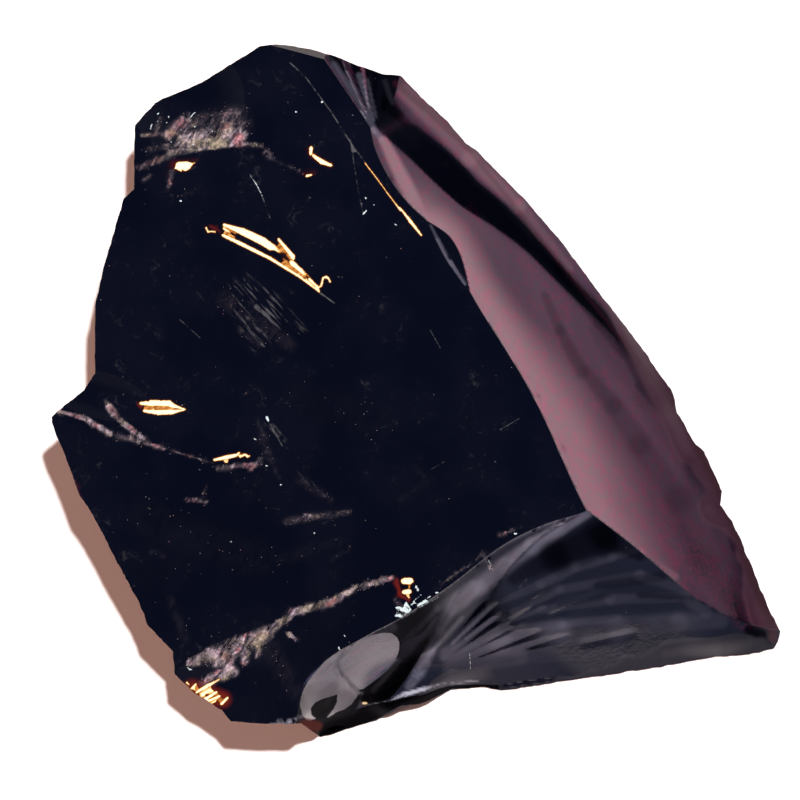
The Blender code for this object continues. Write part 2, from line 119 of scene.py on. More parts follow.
# The fan of ribs at the top of the right bevel.
FAN_APEX = (-5.3, 31.3)
FAN_START = 2.143  # direction, in radians, of the line that it leaves the broad face on
FAN_STEEP = 0.9
FAN_EASE = 0.33  # how much gentler it gets per radian round the apex
RIB_RISE = 0.06  # height of a rib per millimetre from the apex
RIBS_PER_TURN = 27
RIB_PHASE = 2.6
RIBS_CENTRE = 2.0  # direction, in radians, of the tallest rib
RIBS_WIDTH = 0.36

# Small planes cut across the broad face: a point on the cut's edge, its direction, steepness.
TOP_STRIP = ((-16.5, 40.75), (83.0, -20.0), 1.45)
LENS = ((1.0, 19.9), (30.0, -51.0), 0.6)
LENS_BOW = 0.02
LENS_MIDDLE = 3.4

# Shallow scars in the broad face: centre, radii, turn in degrees, depth.
HOLLOWS = [
    ((-27.4, 34.6), (7.0, 6.4), 0.0, 1.5),
    ((-24.0, -34.5), (7.6, 3.9), 24.0, 0.9),
    ((-37.4, -0.6), (7.0, 2.6), -17.0, 0.6),
]

# The sides that the lower surface is scarred from, clockwise: a corner of the plan, the height
# of its rim, and how far in the scar between it and the next corner reaches the base.
SIDES = [
    ((-17.6, 41.1), 20.6, 7.5), ((-1.9, 37.5), 15.2, 6.0), ((8.5, 27.4), 9.0, 4.2),
    ((22.6, 10.9), 4.0, 2.6), ((31.2, -2.3), 1.5, 2.2), ((43.7, -29.0), 1.4, 2.0),
    ((28.7, -33.2), 1.2, 2.0), ((7.7, -35.6), 1.4, 2.4), ((-11.2, -41.4), 1.8, 3.6),
    ((-13.7, -39.6), 13.5, 6.5), ((-22.7, -38.9), 16.9, 8.0), ((-28.9, -32.0), 18.5, 10.0),
    ((-36.0, -19.0), 21.3, 13.5),
    ((-43.2, -3.3), 22.8, 8.5), ((-38.1, 2.1), 22.7, 10.5), ((-37.9, 12.0), 22.7, 9.0),
    ((-33.5, 27.4), 22.4, 7.0), ((-30.6, 34.6), 21.0, 10.0),
]
SCAR_HOLLOW = 0.35  # how much a scar is scooped
SCAR_BELLY = 0.22  # how much further it reaches in its middle than at its ends
SCAR_RIPPLE = 0.035  # height of its ripples, as a share of the rim's height
SCAR_RIPPLE_LENGTH = 5.2
SKIN_LEAST = 0.35  # least gap between the two surfaces away from the rim
BASE_FACE = -1


# ------------------------------------------------------------------ helpers


def curve(points):
    """A smooth function through (place, value) points, straight beyond both ends."""
    place, value = np.array(points, float).T
    slope = np.diff(value) / np.diff(place)
    tangent = np.concatenate([slope[:1], (slope[1:] + slope[:-1]) / 2, slope[-1:]])

    def at(x):
        x = np.asarray(x, float)
        k = np.clip(np.searchsorted(place, x) - 1, 0, len(place) - 2)
        step = place[k + 1] - place[k]
        q = np.clip((x - place[k]) / step, 0, 1)
        from_left = (1 + 2 * q) * value[k] + q * step * tangent[k]
        from_right = (3 - 2 * q) * value[k + 1] - (1 - q) * step * tangent[k + 1]
        inside = (1 - q) ** 2 * from_left + q**2 * from_right
        before = np.minimum(x - place[0], 0) * tangent[0]
        after = np.maximum(x - place[-1], 0) * tangent[-1]
        return inside + before + after

    return at


def bend(x, softness):
    """0 below x = 0 and x above it, with the bend rounded over the softness."""
    return softness * np.logaddexp(0, x / softness)


class Line:
    """A straight line across the plan: distances along it and out to its left."""

    def __init__(self, start, along):
        self.start = np.array(start, float)
        self.along = np.array(along, float) / np.hypot(*along)
        self.out = np.array([-self.along[1], self.along[0]])

    def measure(self, x, y):
        dx = x - self.start[0]
        dy = y - self.start[1]
        along = dx * self.along[0] + dy * self.along[1]
        return along, dx * self.out[0] + dy * self.out[1]

    def point(self, along, out):
        x = self.start[0] + along * self.along[0] + out * self.out[0]
        y = self.start[1] + along * self.along[1] + out * self.out[1]
        return x, y


# ------------------------------------------------------------------ the upper surface

BEVEL_LINE = Line(CORNER, BEVEL_ALONG)
FRONT_LINE = Line(CORNER, FRONT_ALONG)

bevel_edge = curve(BEVEL_EDGE)
bevel_steep = curve(BEVEL_STEEP)
shelf_from = curve(SHELF_FROM)
shelf_steep = curve(SHELF_STEEP)
lip_from = curve(LIP_FROM)
lip_steep = curve(LIP_STEEP)
front_edge = curve(FRONT_EDGE)
scarp_steep = curve(SCARP_STEEP)
slope_from = curve(SLOPE_FROM)
slope_steep = curve(SLOPE_STEEP)
foot_from = curve(FOOT_FROM)
foot_steep = curve(FOOT_STEEP)


def plain_crest(x, y):
    curl = CREST_BEND * np.minimum(y - CREST_BEND_Y, 0) ** 2
    return CREST - CREST_FALL * x - curl


def broad_face(x, y):
    """The big face on top: nearly level, curling down towards the front, faintly rippled."""
    reach = np.hypot(x - CREST_SWELL_FROM[0], y - CREST_SWELL_FROM[1])
    return plain_crest(x, y) + CREST_SWELL * np.sin(2 * np.pi * reach / CREST_SWELL_LENGTH)


def right_bevel(x, y):
    """The long concave scar down the right side, with a shelf and a lip below it."""
    along, out = BEVEL_LINE.measure(x, y)
    edge = bevel_edge(along)
    steep = bevel_steep(along)
    shelf = shelf_steep(along)
    lip = lip_steep(along)
    crisp = 0.12 + 0.012 * np.maximum(along + 40, 0)
    drop = steep * (out - edge)
    drop = drop + (shelf - steep) * bend(out - shelf_from(along), crisp)
    drop = drop + (lip - shelf) * bend(out - lip_from(along), 0.45)
    beyond = bend(along, CORNER_EASE)
    start = plain_crest(*BEVEL_LINE.point(along - beyond, edge))
    return start - BEYOND_CORNER_FALL * beyond - drop


def front_bevel(x, y):
    """The scars along the front: a steep scarp, a slope and a foot that meets the rim."""
    along, out = FRONT_LINE.measure(x, y)
    edge = front_edge(along)
    scarp = scarp_steep(along)
    slope = slope_steep(along)
    foot = foot_steep(along)
    drop = scarp * (out - edge)
    drop = drop + (slope - scarp) * bend(out - slope_from(along), 0.25)
    drop = drop + (foot - slope) * bend(out - foot_from(along), 0.35)
    beyond = bend(-along, CORNER_EASE)
    start = plain_crest(*FRONT_LINE.point(along + beyond, edge))
    height = start - BEYOND_CORNER_FALL * beyond - drop
    for (middle, down), (half_length, half_width), rise in BULGES:
        far = np.hypot((along - middle) / half_length, (out - down) / half_width)
        height = height + rise * np.maximum(1 - far**2, 0)
    return height


def fan(x, y):
    """Ribs that spread from one point, where the flake that left the right bevel began."""
    turn = np.arctan2(y - FAN_APEX[1], x - FAN_APEX[0])
    reach = np.hypot(x - FAN_APEX[0], y - FAN_APEX[1])
    from_start = (FAN_START - turn + np.pi) % (2 * np.pi) - np.pi
    fall = FAN_STEEP * np.sin(from_start) * (1 - FAN_EASE * np.maximum(from_start, 0))
    height_of_ribs = RIB_RISE * np.exp(-(((turn - RIBS_CENTRE) / RIBS_WIDTH) ** 2))
    ribs = height_of_ribs * np.cos(RIBS_PER_TURN * turn + RIB_PHASE)
    return plain_crest(*FAN_APEX) - reach * (fall - ribs)


def plane_cut(x, y, start, along, steep):
    line = Line(start, along)
    place, out = line.measure(x, y)
    return plain_crest(*line.point(place, 0)) - steep * out


def lens(x, y):
    """A thin curved facet beside the right bevel's upper edge."""
    start, along, steep = LENS
    place, out = Line(start, along).measure(x, y)
    bow = LENS_BOW * (place - LENS_MIDDLE) ** 2
    return plain_crest(x, y) - steep * (out - bow + 0.1)


def hollow(x, y, centre, radii, turn, depth):
    cosine = np.cos(np.radians(turn))
    sine = np.sin(np.radians(turn))
    dx = x - centre[0]
    dy = y - centre[1]
    long_way = (dx * cosine + dy * sine) / radii[0]
    short_way = (dy * cosine - dx * sine) / radii[1]
    return plain_crest(x, y) - depth * (1 - long_way**2 - short_way**2)


def face_heights(x, y):
    """Height of every face of the upper surface, one row each."""
    faces = [broad_face(x, y), right_bevel(x, y), front_bevel(x, y), fan(x, y)]
    faces += [plane_cut(x, y, *TOP_STRIP), lens(x, y)]
    faces += [hollow(x, y, *scar) for scar in HOLLOWS]
    return np.stack(faces)


def upper_surface(x, y):
    """Height of the upper surface, and which face gives it."""
    heights = face_heights(x, y)
    return np.maximum(heights.min(axis=0), THINNEST_RIM), heights.argmin(axis=0)


# ------------------------------------------------------------------ the lower surface


def undercut(x, y, side, next_side):
    """A scooped scar that starts at one side of the plan and dies out at the base."""
    (corner, rim, reach), (next_corner, next_rim, _) = side, next_side
    corner = np.array(corner)
    span = np.array(next_corner) - corner
    share = ((x - corner[0]) * span[0] + (y - corner[1]) * span[1]) / span.dot(span)
    share = np.clip(share, 0, 1)
    away = np.hypot(x - corner[0] - share * span[0], y - corner[1] - share * span[1])
    q = away / (reach * (1 - SCAR_BELLY + SCAR_BELLY * np.sin(np.pi * share)))
    rim_height = rim + (next_rim - rim) * share
    middle = corner + span / 2
    ring = np.hypot(x - middle[0], y - middle[1])
    fade = np.clip(4 * q * (1 - q), 0, 1)
    ripple = SCAR_RIPPLE * fade * np.sin(2 * np.pi * ring / SCAR_RIPPLE_LENGTH)
    return rim_height * ((1 - q) * (1 - SCAR_HOLLOW * np.minimum(q, 1)) + ripple)


def lower_surface(x, y):
    """Height of the lower surface, and which scar gives it, or BASE_FACE."""
    scars = [undercut(x, y, SIDES[k - 1], SIDES[k]) for k in range(len(SIDES))]
    heights = np.stack(scars)
    highest = heights.max(axis=0)
    which = np.where(highest > 0, heights.argmax(axis=0), BASE_FACE)
    ceiling = upper_surface(x, y)[0] - SKIN_LEAST
    return np.clip(highest, 0, np.maximum(ceiling, 0)), which


# ------------------------------------------------------------------ small relief

# Hackles: grooves that spread over the front bevel from one point. Each is a direction in
# degrees, the reach where it starts and ends, its half width and its depth.
HACKLE_FROM = (-0.4, -34.6)
HACKLES = [
    (58.0, 5.0, 12.0, 0.30, 0.08), (49.0, 4.5, 13.5, 0.34, 0.11), (42.0, 4.0, 14.5, 0.30, 0.08),
    (36.0, 5.0, 13.0, 0.34, 0.11), (28.0, 6.0, 14.0, 0.30, 0.08), (21.0, 7.0, 17.0, 0.36, 0.11),
    (64.0, 6.0, 10.0, 0.30, 0.08), (16.0, 13.0, 20.0, 0.30, 0.06), (31.0, 13.0, 21.0, 0.40, 0.08),
    (25.0, 17.0, 26.0, 0.45, 0.08), (33.5, 16.0, 25.0, 0.35, 0.07), (12.0, 20.0, 28.0, 0.40, 0.06),
]
HACKLE_END = 1.8  # over what length a groove dies out at each end

# Nicks along the upper edges of the bevels.
NICKS_SEED = 11
NICKS_PER_EDGE = 26
NICK_RADII = (0.16, 0.6)
NICK_DEPTH = 0.16  # of the widest
NICK_SPREAD = 0.35  # how far from the edge a nick may sit

# Slow swells of the bevels and grain of the dusty scars.
BEVEL_SWELL = 0.05
BEVEL_SWELL_LENGTH = 2.6
DUST_GRAIN = 0.035
DUST_GRAIN_SIZE = 0.9
GLASS_GRAIN = 0.004
GLASS_GRAIN_SIZE = 1.4

RIM_WANDER = 0.09
RIM_WANDER_SIZE = 0.7
NIBBLE_DEPTH = 0.26
NIBBLE_LENGTH = 1.5
NIBBLES_FROM = (27.0, 6.0)  # the outline is nibbled beyond this point, towards +X and -Y

EDGE_HEIGHT = 0.35  # the thin rims end in a narrow steep edge of this height
EDGE_STEEP = 1.3
EDGE_BELOW = (2.0, 4.5)  # rims lower than the first have it, those over the second don't
SCAR_STEP = 0.09  # depth of the pale flake scars
SCAR_STEP_OVER = (-0.05, 0.45)
PIT_DEPTH = 0.3  # depth of the dark ones
PIT_OVER = (0.0, 1.2)

WALL_RIPPLE = 0.16
WALL_RIPPLE_LENGTH = 1.9
WALL_GRAIN = 0.12
WALL_GRAIN_SIZE = 1.1

DEPTH_KEPT = 0.6  # how deep in a mark, or how far from it, is told apart
PATCH_HEART = 1.5  # a soft stroke is full out to this many half widths less one


def lumps(x, y, size, seed):
    """Smooth noise between -1 and 1, with lumps of about this size."""
    cells = 256
    table = np.random.default_rng(seed).uniform(-1, 1, (cells, cells))
    u = np.asarray(x, float) / size
    v = np.asarray(y, float) / size
    column = np.floor(u).astype(int)
    row = np.floor(v).astype(int)
    across = u - column
    up = v - row
    across = across * across * (3 - 2 * across)
    up = up * up * (3 - 2 * up)
    low = table[row % cells, column % cells] * (1 - across)
    low = low + table[row % cells, (column + 1) % cells] * across
    high = table[(row + 1) % cells, column % cells] * (1 - across)
    high = high + table[(row + 1) % cells, (column + 1) % cells] * across
    return low * (1 - up) + high * up


def grain(x, y, size, seed):
    """Noise of three sizes laid over each other."""
    coarse = lumps(x, y, size, seed)
    middle = lumps(x + 31.7, y - 12.3, size / 2.1, seed + 1)
    fine = lumps(x - 7.9, y + 44.1, size / 4.3, seed + 2)
    return (coarse + 0.5 * middle + 0.25 * fine) / 1.75


def ease(x, low, high):
    """0 below low, 1 above high and smooth between them."""
    q = np.clip((x - low) / (high - low), 0, 1)
    return q * q * (3 - 2 * q)


def hackle_relief(x, y):
    dx = x - HACKLE_FROM[0]
    dy = y - HACKLE_FROM[1]
    reach = np.hypot(dx, dy)
    turn = np.degrees(np.arctan2(dy, dx))
    total = np.zeros_like(reach)
    for angle, first, last, half_width, depth in HACKLES:
        aside = np.radians(turn - angle) * reach / half_width
        ends = ease(reach, first, first + HACKLE_END) * (1 - ease(reach, last - HACKLE_END, last))
        total = total - depth * ends * np.exp(-(aside**2))
    return total


def make_nicks():
    """Centres, radii and depths of the nicks, as one row each."""
    rng = np.random.default_rng(NICKS_SEED)
    rows = []
    for line, edge, first, last in (
        (BEVEL_LINE, bevel_edge, -47.0, 1.0),
        (FRONT_LINE, front_edge, 1.0, 38.0),
    ):
        for _ in range(NICKS_PER_EDGE):
            along = rng.uniform(first, last)
            out = edge(along) + rng.normal(0, NICK_SPREAD)
            radius = NICK_RADII[0] + (NICK_RADII[1] - NICK_RADII[0]) * rng.random() ** 3
            rows.append((*line.point(along, out), radius))
    return np.array(rows, float)


NICKS = make_nicks()


def nick_relief(x, y):
    total = np.zeros_like(x)
    for centre_x, centre_y, radius in NICKS:
        near = np.abs(x - centre_x) < radius
        near &= np.abs(y - centre_y) < radius
        far = ((x[near] - centre_x) ** 2 + (y[near] - centre_y) ** 2) / radius**2
        depth = NICK_DEPTH * radius / NICK_RADII[1]
        total[near] = np.minimum(total[near], -depth * np.maximum(1 - far, 0))
    return total


def carved_top(x, y):
    """The upper surface with its small relief, and which face gives it."""
    height, face = upper_surface(x, y)
    front = ease(FRONT_LINE.measure(x, y)[1], 0.2, 1.5) * (face == 2)
    height = height + front * hackle_relief(x, y)
    along, out = BEVEL_LINE.measure(x, y)
    swell = lumps(along / 3, out, BEVEL_SWELL_LENGTH, 3)
    height = height + BEVEL_SWELL * swell * (face == 1) * ease(out, 0.5, 3.0)
    height = height + GLASS_GRAIN * grain(x, y, GLASS_GRAIN_SIZE, 5) * (face > 0)
    rough = np.clip(patch_cover(DUST, x, y), 0, 1)
    height = height + DUST_GRAIN * rough * grain(x, y, DUST_GRAIN_SIZE, 8)
    height = height + nick_relief(x, y)
    height = height - SCAR_STEP * ease(shape_depth(LIGHT_SCARS, x, y), *SCAR_STEP_OVER)
    height = height - PIT_DEPTH * ease(shape_depth(DARK_SCARS[:2], x, y), *PIT_OVER)
    return np.maximum(thin_edge(x, y, height), EDGE_HEIGHT), face


def thin_edge(x, y, height):
    """The same heights, brought down to a narrow steep edge along the thin rims."""
    low = height < EDGE_BELOW[1]
    inside = distance_inside(np.column_stack([x[low], y[low]]), RIM)
    over = np.maximum(height[low] - EDGE_HEIGHT - EDGE_STEEP * np.maximum(inside, 0), 0)
    lowered = height.copy()
    lowered[low] -= over * (1 - ease(height[low], *EDGE_BELOW))
    return lowered


def carved_underside(x, y):
    """The lower surface with ripples and grain on its scars."""
    height, which = lower_surface(x, y)
    ring = np.zeros_like(height)
    for k, (corner, _, _) in enumerate(SIDES):
        corner = np.array(corner)
        next_corner = np.array(SIDES[(k + 1) % len(SIDES)][0])
        middle = (corner + next_corner) / 2
        mine = which == (k + 1) % len(SIDES)
        ring = np.where(mine, np.hypot(x - middle[0], y - middle[1]), ring)
    fade = ease(height, 0.0, 2.5)
    ripple = WALL_RIPPLE * np.sin(2 * np.pi * ring / WALL_RIPPLE_LENGTH)
    rough = WALL_GRAIN * grain(x, y, WALL_GRAIN_SIZE, 21)
    ceiling = carved_top(x, y)[0] - SKIN_LEAST
    carved = np.minimum(height + fade * (ripple + rough), np.maximum(ceiling, 0))
    return np.maximum(carved, 0), which


# ------------------------------------------------------------------ strokes and shapes


def from_stroke(x, y, start, end):
    """Distance from a straight stroke, and how far along it the nearest point is, 0 to 1."""
    span_x = end[0] - start[0]
    span_y = end[1] - start[1]
    length = max(span_x**2 + span_y**2, 1e-9)
    share = ((x - start[0]) * span_x + (y - start[1]) * span_y) / length
    share = np.clip(share, 0, 1)
    away_x = x - start[0] - share * span_x
    away_y = y - start[1] - share * span_y
    return np.hypot(away_x, away_y), share


def stroke_depth(strokes, x, y):
    """How deep inside the nearest stroke each point is, in millimetres, negative outside."""
    deepest = np.full(np.shape(x), -DEPTH_KEPT)
    for start, end, start_width, end_width in strokes:
        far, share = from_stroke(x, y, start, end)
        width = start_width + (end_width - start_width) * share
        deepest = np.maximum(deepest, width - far)
    return deepest


def shape_depth(shapes, x, y):
    """How deep inside the nearest of these shapes each point is, negative outside."""
    deepest = np.full(np.shape(x), -DEPTH_KEPT)
    for shape in shapes:
        corners = np.array(shape)
        near = (x > corners[:, 0].min() - DEPTH_KEPT) & (x < corners[:, 0].max() + DEPTH_KEPT)
        near &= (y > corners[:, 1].min() - DEPTH_KEPT) & (y < corners[:, 1].max() + DEPTH_KEPT)
        depth = distance_inside(np.column_stack([x[near], y[near]]), corners)
        deepest[near] = np.maximum(deepest[near], depth)
    return deepest


def soft_cover(patches, x, y):
    """Cover of soft patches laid over each other, 0 to 1; each is at half its strength at its
    width from the line that it follows."""
    bare = np.ones(np.shape(x))
    for start, end, start_width, end_width, strength in patches:
        far, share = from_stroke(x, y, start, end)
        width = start_width + (end_width - start_width) * share
        bare = bare * (1 - strength * ease(PATCH_HEART - far / width, 0, 1))
    return 1 - bare


def patch_cover(patches, x, y):
    """Cover of soft patches, from 0 to a little over 1 at the heart of the strongest."""
    cover = np.zeros(np.shape(x))
    for start, end, start_width, end_width, strength in patches:
        far, share = from_stroke(x, y, start, end)
        width = start_width + (end_width - start_width) * share
        cover = np.maximum(cover, strength * np.clip(PATCH_HEART - far / width, 0, 1))
    return cover


# ------------------------------------------------------------------ marks on the glass

# Every mark is a soft or crisp stroke, or a closed shape, placed on a drawing grid: steps to
# the right and down, seen from above. A stroke is its start, its end, its half width at both
# ends in steps and, for a soft one, its strength. The grid is finer on the broad face than on
# the bevels, because that face is nearer the eye.
GRID_STEP = 0.12
GRID_MIDDLE = (416, 391)  # the step over the plan's origin
ON_TOP = 0.98925
ON_BEVELS = 0.9925


def placed(share, across, down):
    """A step of the drawing grid as a place in the plan, to a hundredth of a millimetre."""
    x = round((across - GRID_MIDDLE[0]) * GRID_STEP * share, 2)
    return x, round((GRID_MIDDLE[1] - down) * GRID_STEP * share, 2)


def drawn_strokes(share, rows):
    """Strokes in millimetres: start, end, half width at both ends and any strength."""
    found = []
    for across, down, end_across, end_down, width, end_width, *strength in rows:
        ends = (placed(share, across, down), placed(share, end_across, end_down))
        widths = (round(width * GRID_STEP, 2), round(end_width * GRID_STEP, 2))
        found.append((*ends, *widths, *strength))
    return found


def drawn_shapes(share, outlines):
    return [[placed(share, *corner) for corner in outline] for outline in outlines]


# Painted golden glints: painted highlights where light is caught in a crack.
PAINTED_GLINT_STROKES = drawn_strokes(ON_TOP, [
    (224, 225, 242, 231.5, 1.3, 3.3), (242, 231.5, 262, 241, 3.6, 4),
    (262, 241, 282, 254.5, 4, 3.2), (282, 254.5, 300, 270, 3, 2), (300, 270, 318, 288, 2, 0.9),
    (278.5, 239.5, 293, 257, 1.3, 2.2), (223, 235.5, 240, 243.5, 1.4, 1.8),
    (240, 243.5, 270, 258.5, 1.9, 1.6), (270, 258.5, 300, 277, 1.6, 1.2),
    (300, 277, 319, 292, 1.2, 0.5), (224, 229, 234, 235, 1.2, 1.4),
    (206, 228, 208, 232, 0.8, 0.8), (211, 231.5, 215, 232, 0.8, 0.7),
    (321, 286, 323, 278, 0.8, 1), (323, 278, 326, 276.5, 1, 0.9), (328, 278, 330, 282, 0.8, 0.8),
    (141, 403.5, 150, 403.5, 1.6, 2.6), (150, 403, 170, 403.5, 3, 2.8),
    (170, 405, 185, 409.5, 2.4, 0.7), (144, 411, 158, 412.5, 1.4, 2.4),
    (158, 412.5, 172, 412, 2.7, 2.4), (172, 412, 184, 410, 2.2, 0.6),
    (176, 168, 179, 166, 1.6, 3), (179, 165.8, 187, 165.8, 3.8, 4.2),
    (187, 166, 190.5, 164.8, 3.6, 1.8), (178, 169.4, 181, 170.6, 1, 0.8),
    (184, 170, 187, 170.4, 0.9, 0.7), (193, 163.6, 194.4, 163, 0.6, 0.5),
    (311, 148, 310.5, 154, 1.8, 1.5), (313.5, 156, 322, 162, 1.5, 2.6),
    (322, 162, 331, 165.5, 2.4, 1.4), (306.5, 176, 311, 175, 1.4, 1),
    (214, 460, 226, 457.5, 1.2, 2), (226, 457.5, 235, 455.5, 2, 1.7),
    (237, 454.5, 239, 453, 1.3, 1), (240, 457, 245, 454.5, 0.9, 0.8),
    (247, 457, 249, 456, 0.8, 0.8), (225, 462, 227, 462, 0.7, 0.7),
    (196, 693, 208, 686, 1.3, 1.8), (208, 686, 219, 680, 1.6, 0.6), (199, 697, 210, 690, 1, 0.9),
    (204, 700, 216, 693, 1.9, 1.2), (206, 702.5, 219, 697, 1.5, 1.2),
    (210, 704, 215, 702, 1, 0.8), (221, 704.5, 227, 698.5, 1.4, 1.2),
    (190.5, 690, 195, 685, 0.9, 1.1), (186, 683, 188, 685, 0.8, 0.8),
    (404, 581.5, 410, 581.5, 3.2, 3.4), (404, 592.5, 409, 592, 2.3, 2.5),
    (408, 597, 409, 598, 0.8, 0.8), (363, 706, 366, 706, 1.4, 1.2),
    (364.5, 162.5, 366, 164.6, 0.3, 0.4), (367.6, 166.8, 372, 172.4, 0.35, 0.5),
    (374, 175, 375, 176.4, 0.4, 0.4), (377, 179, 382, 185.8, 0.45, 0.5),
    (383.6, 188, 384.6, 189.4, 0.4, 0.4), (386.6, 192.2, 391, 198, 0.5, 0.55),
    (392.6, 200.2, 400, 210, 0.5, 0.8), (400, 208, 410, 221, 0.7, 1.5),
    (410, 221, 421, 235, 1.7, 0.8),
])
# Dark gaps inside the painted glints.
PAINTED_GLINT_GAPS = drawn_strokes(ON_TOP, [
    (228, 232.3, 256, 244.6, 0.5, 0.9), (256, 244.6, 284, 258.8, 0.9, 0.8),
    (284, 258.8, 308, 278, 0.7, 0.4), (248, 237.4, 262, 243.6, 0.3, 0.4),
    (268, 243, 290, 261, 0.35, 0.45), (236, 236, 244, 238.6, 0.9, 1.1),
    (251, 243.6, 255, 245.6, 1.5, 1.4), (272, 252, 278, 256, 1.2, 1),
    (138, 407.3, 150, 408, 0.9, 1.2), (150, 408, 166, 408.9, 1.2, 0.5),
    (148, 399, 148, 401.3, 0.4, 0.3), (156, 399, 156, 401, 0.3, 0.2),
    (161, 399, 161, 401.3, 0.4, 0.2), (167, 399, 167, 402, 0.5, 0.3),
    (201, 694, 214, 686.5, 0.35, 0.3), (205, 697.5, 216, 690.5, 0.3, 0.3),
    (399, 587.2, 415, 587.2, 1.1, 1.1), (236, 456.5, 236, 452, 0.3, 0.3),
])
# White chips and specks, some of them painted sparkle highlights.
CHIP_AND_SPARKLE_STROKES = drawn_strokes(ON_TOP, [
    (397, 608, 398, 608, 1.5, 1.5), (396, 616, 398, 616, 1.5, 1.4), (402, 611, 406, 603, 1, 0.9),
    (406, 603, 410, 610, 0.9, 1.1), (402, 611.5, 409, 611.5, 1, 1),
    (404, 606, 404, 608, 0.7, 0.7), (413, 604, 414, 603, 0.7, 0.7),
    (418, 605.5, 426, 601.5, 1.2, 1.9), (416, 586.5, 416, 587.5, 1.1, 1.1),
    (417.5, 591, 418, 590, 1.1, 1.1), (401, 618, 438, 598, 0.4, 0.35),
    (413, 602, 421, 595, 0.35, 0.35), (436, 593, 438, 593, 0.8, 0.8),
    (428, 598, 430, 597, 0.6, 0.6), (295.5, 112, 296.5, 112, 0.8, 0.8),
    (321.5, 102, 322.5, 102, 1.1, 1), (180, 201, 181, 201, 0.8, 0.8),
    (129.5, 194, 130.5, 194, 0.8, 0.8), (254.5, 439, 255.5, 439.5, 0.8, 0.8),
    (266, 466, 267, 466, 0.7, 0.7), (280, 485, 281, 485, 0.6, 0.6),
    (314, 533, 314, 534, 0.8, 0.7), (230, 542, 231, 542, 0.5, 0.5),
    (189, 670, 191, 670, 0.8, 0.7), (187, 668, 188, 669, 0.5, 0.5),
    (515, 534, 516, 534, 1.1, 0.9), (157.5, 114, 158.2, 113.4, 0.7, 0.7),
    (168.5, 116.4, 168.5, 117.4, 0.7, 0.7), (157.4, 121.4, 157.8, 121.4, 0.6, 0.6),
    (166.4, 122.8, 166.6, 122.8, 0.6, 0.6), (151.8, 124.6, 150.2, 128.8, 0.6, 0.7),
    (143.4, 135.2, 144, 135, 0.8, 0.7), (171.4, 142.2, 171.8, 142.2, 0.8, 0.8),
    (193.3, 144.4, 193.7, 144.4, 0.8, 0.8), (194.4, 126.7, 194.8, 126.7, 0.8, 0.8),
    (189.6, 118, 191.4, 116, 0.4, 0.5), (192.4, 114.4, 194.8, 112.4, 0.5, 0.5),
    (250.5, 176, 256, 184, 0.25, 0.5), (256, 184, 262, 196, 0.5, 0.25),
    (365.5, 198, 366, 198.5, 1, 1), (363, 214, 366, 211, 0.9, 0.8),
    (374, 205, 374, 205, 0.7, 0.7), (395, 224.5, 396, 225, 0.7, 0.7),
    (362, 204, 362.5, 204, 0.6, 0.6), (266.5, 417, 268, 421, 1.3, 1.1),
    (338.5, 648, 339, 650, 1, 1), (488, 560, 491, 565, 0.35, 0.35),
    (491, 565, 489, 570, 0.3, 0.3), (470, 655, 471, 671, 0.28, 0.28),
    (344, 636, 345, 637, 0.6, 0.6), (182, 405, 182, 405, 0.5, 0.5),
])
# Thin grey scratches.
SCRATCHES = drawn_strokes(ON_TOP, [
    (250, 175, 260, 191, 0.5, 0.6), (260, 191, 270, 218, 0.6, 0.4),
    (320, 293, 338, 306, 0.8, 0.4), (268, 421, 282, 446, 0.6, 0.4),
    (272, 424, 287, 440, 0.3, 0.3), (287, 60, 306, 78, 0.7, 0.5), (306, 78, 331, 112, 0.5, 0.5),
    (331, 112, 352, 145, 0.5, 0.6), (352, 145, 366, 164, 0.5, 0.6),
    (350, 140, 358, 190, 0.3, 0.3), (358, 190, 363, 214, 0.3, 0.3),
    (520, 588, 527, 580, 0.5, 0.5), (430, 470, 444, 462, 0.3, 0.3),
    (500, 430, 520, 418, 0.3, 0.2), (180, 320, 200, 338, 0.3, 0.2),
    (430, 330, 440, 348, 0.3, 0.2),
])
# Scuffs of many fine lines.
SCUFFS = drawn_strokes(ON_TOP, [
    (244, 290, 282, 318, 15, 13, 1), (240, 312, 262, 345, 8, 10, 0.9),
    (268, 424, 284, 446, 5, 5, 0.7), (262, 300, 300, 330, 10, 8, 0.6),
    (300, 476, 330, 500, 8, 5, 0.35),
])
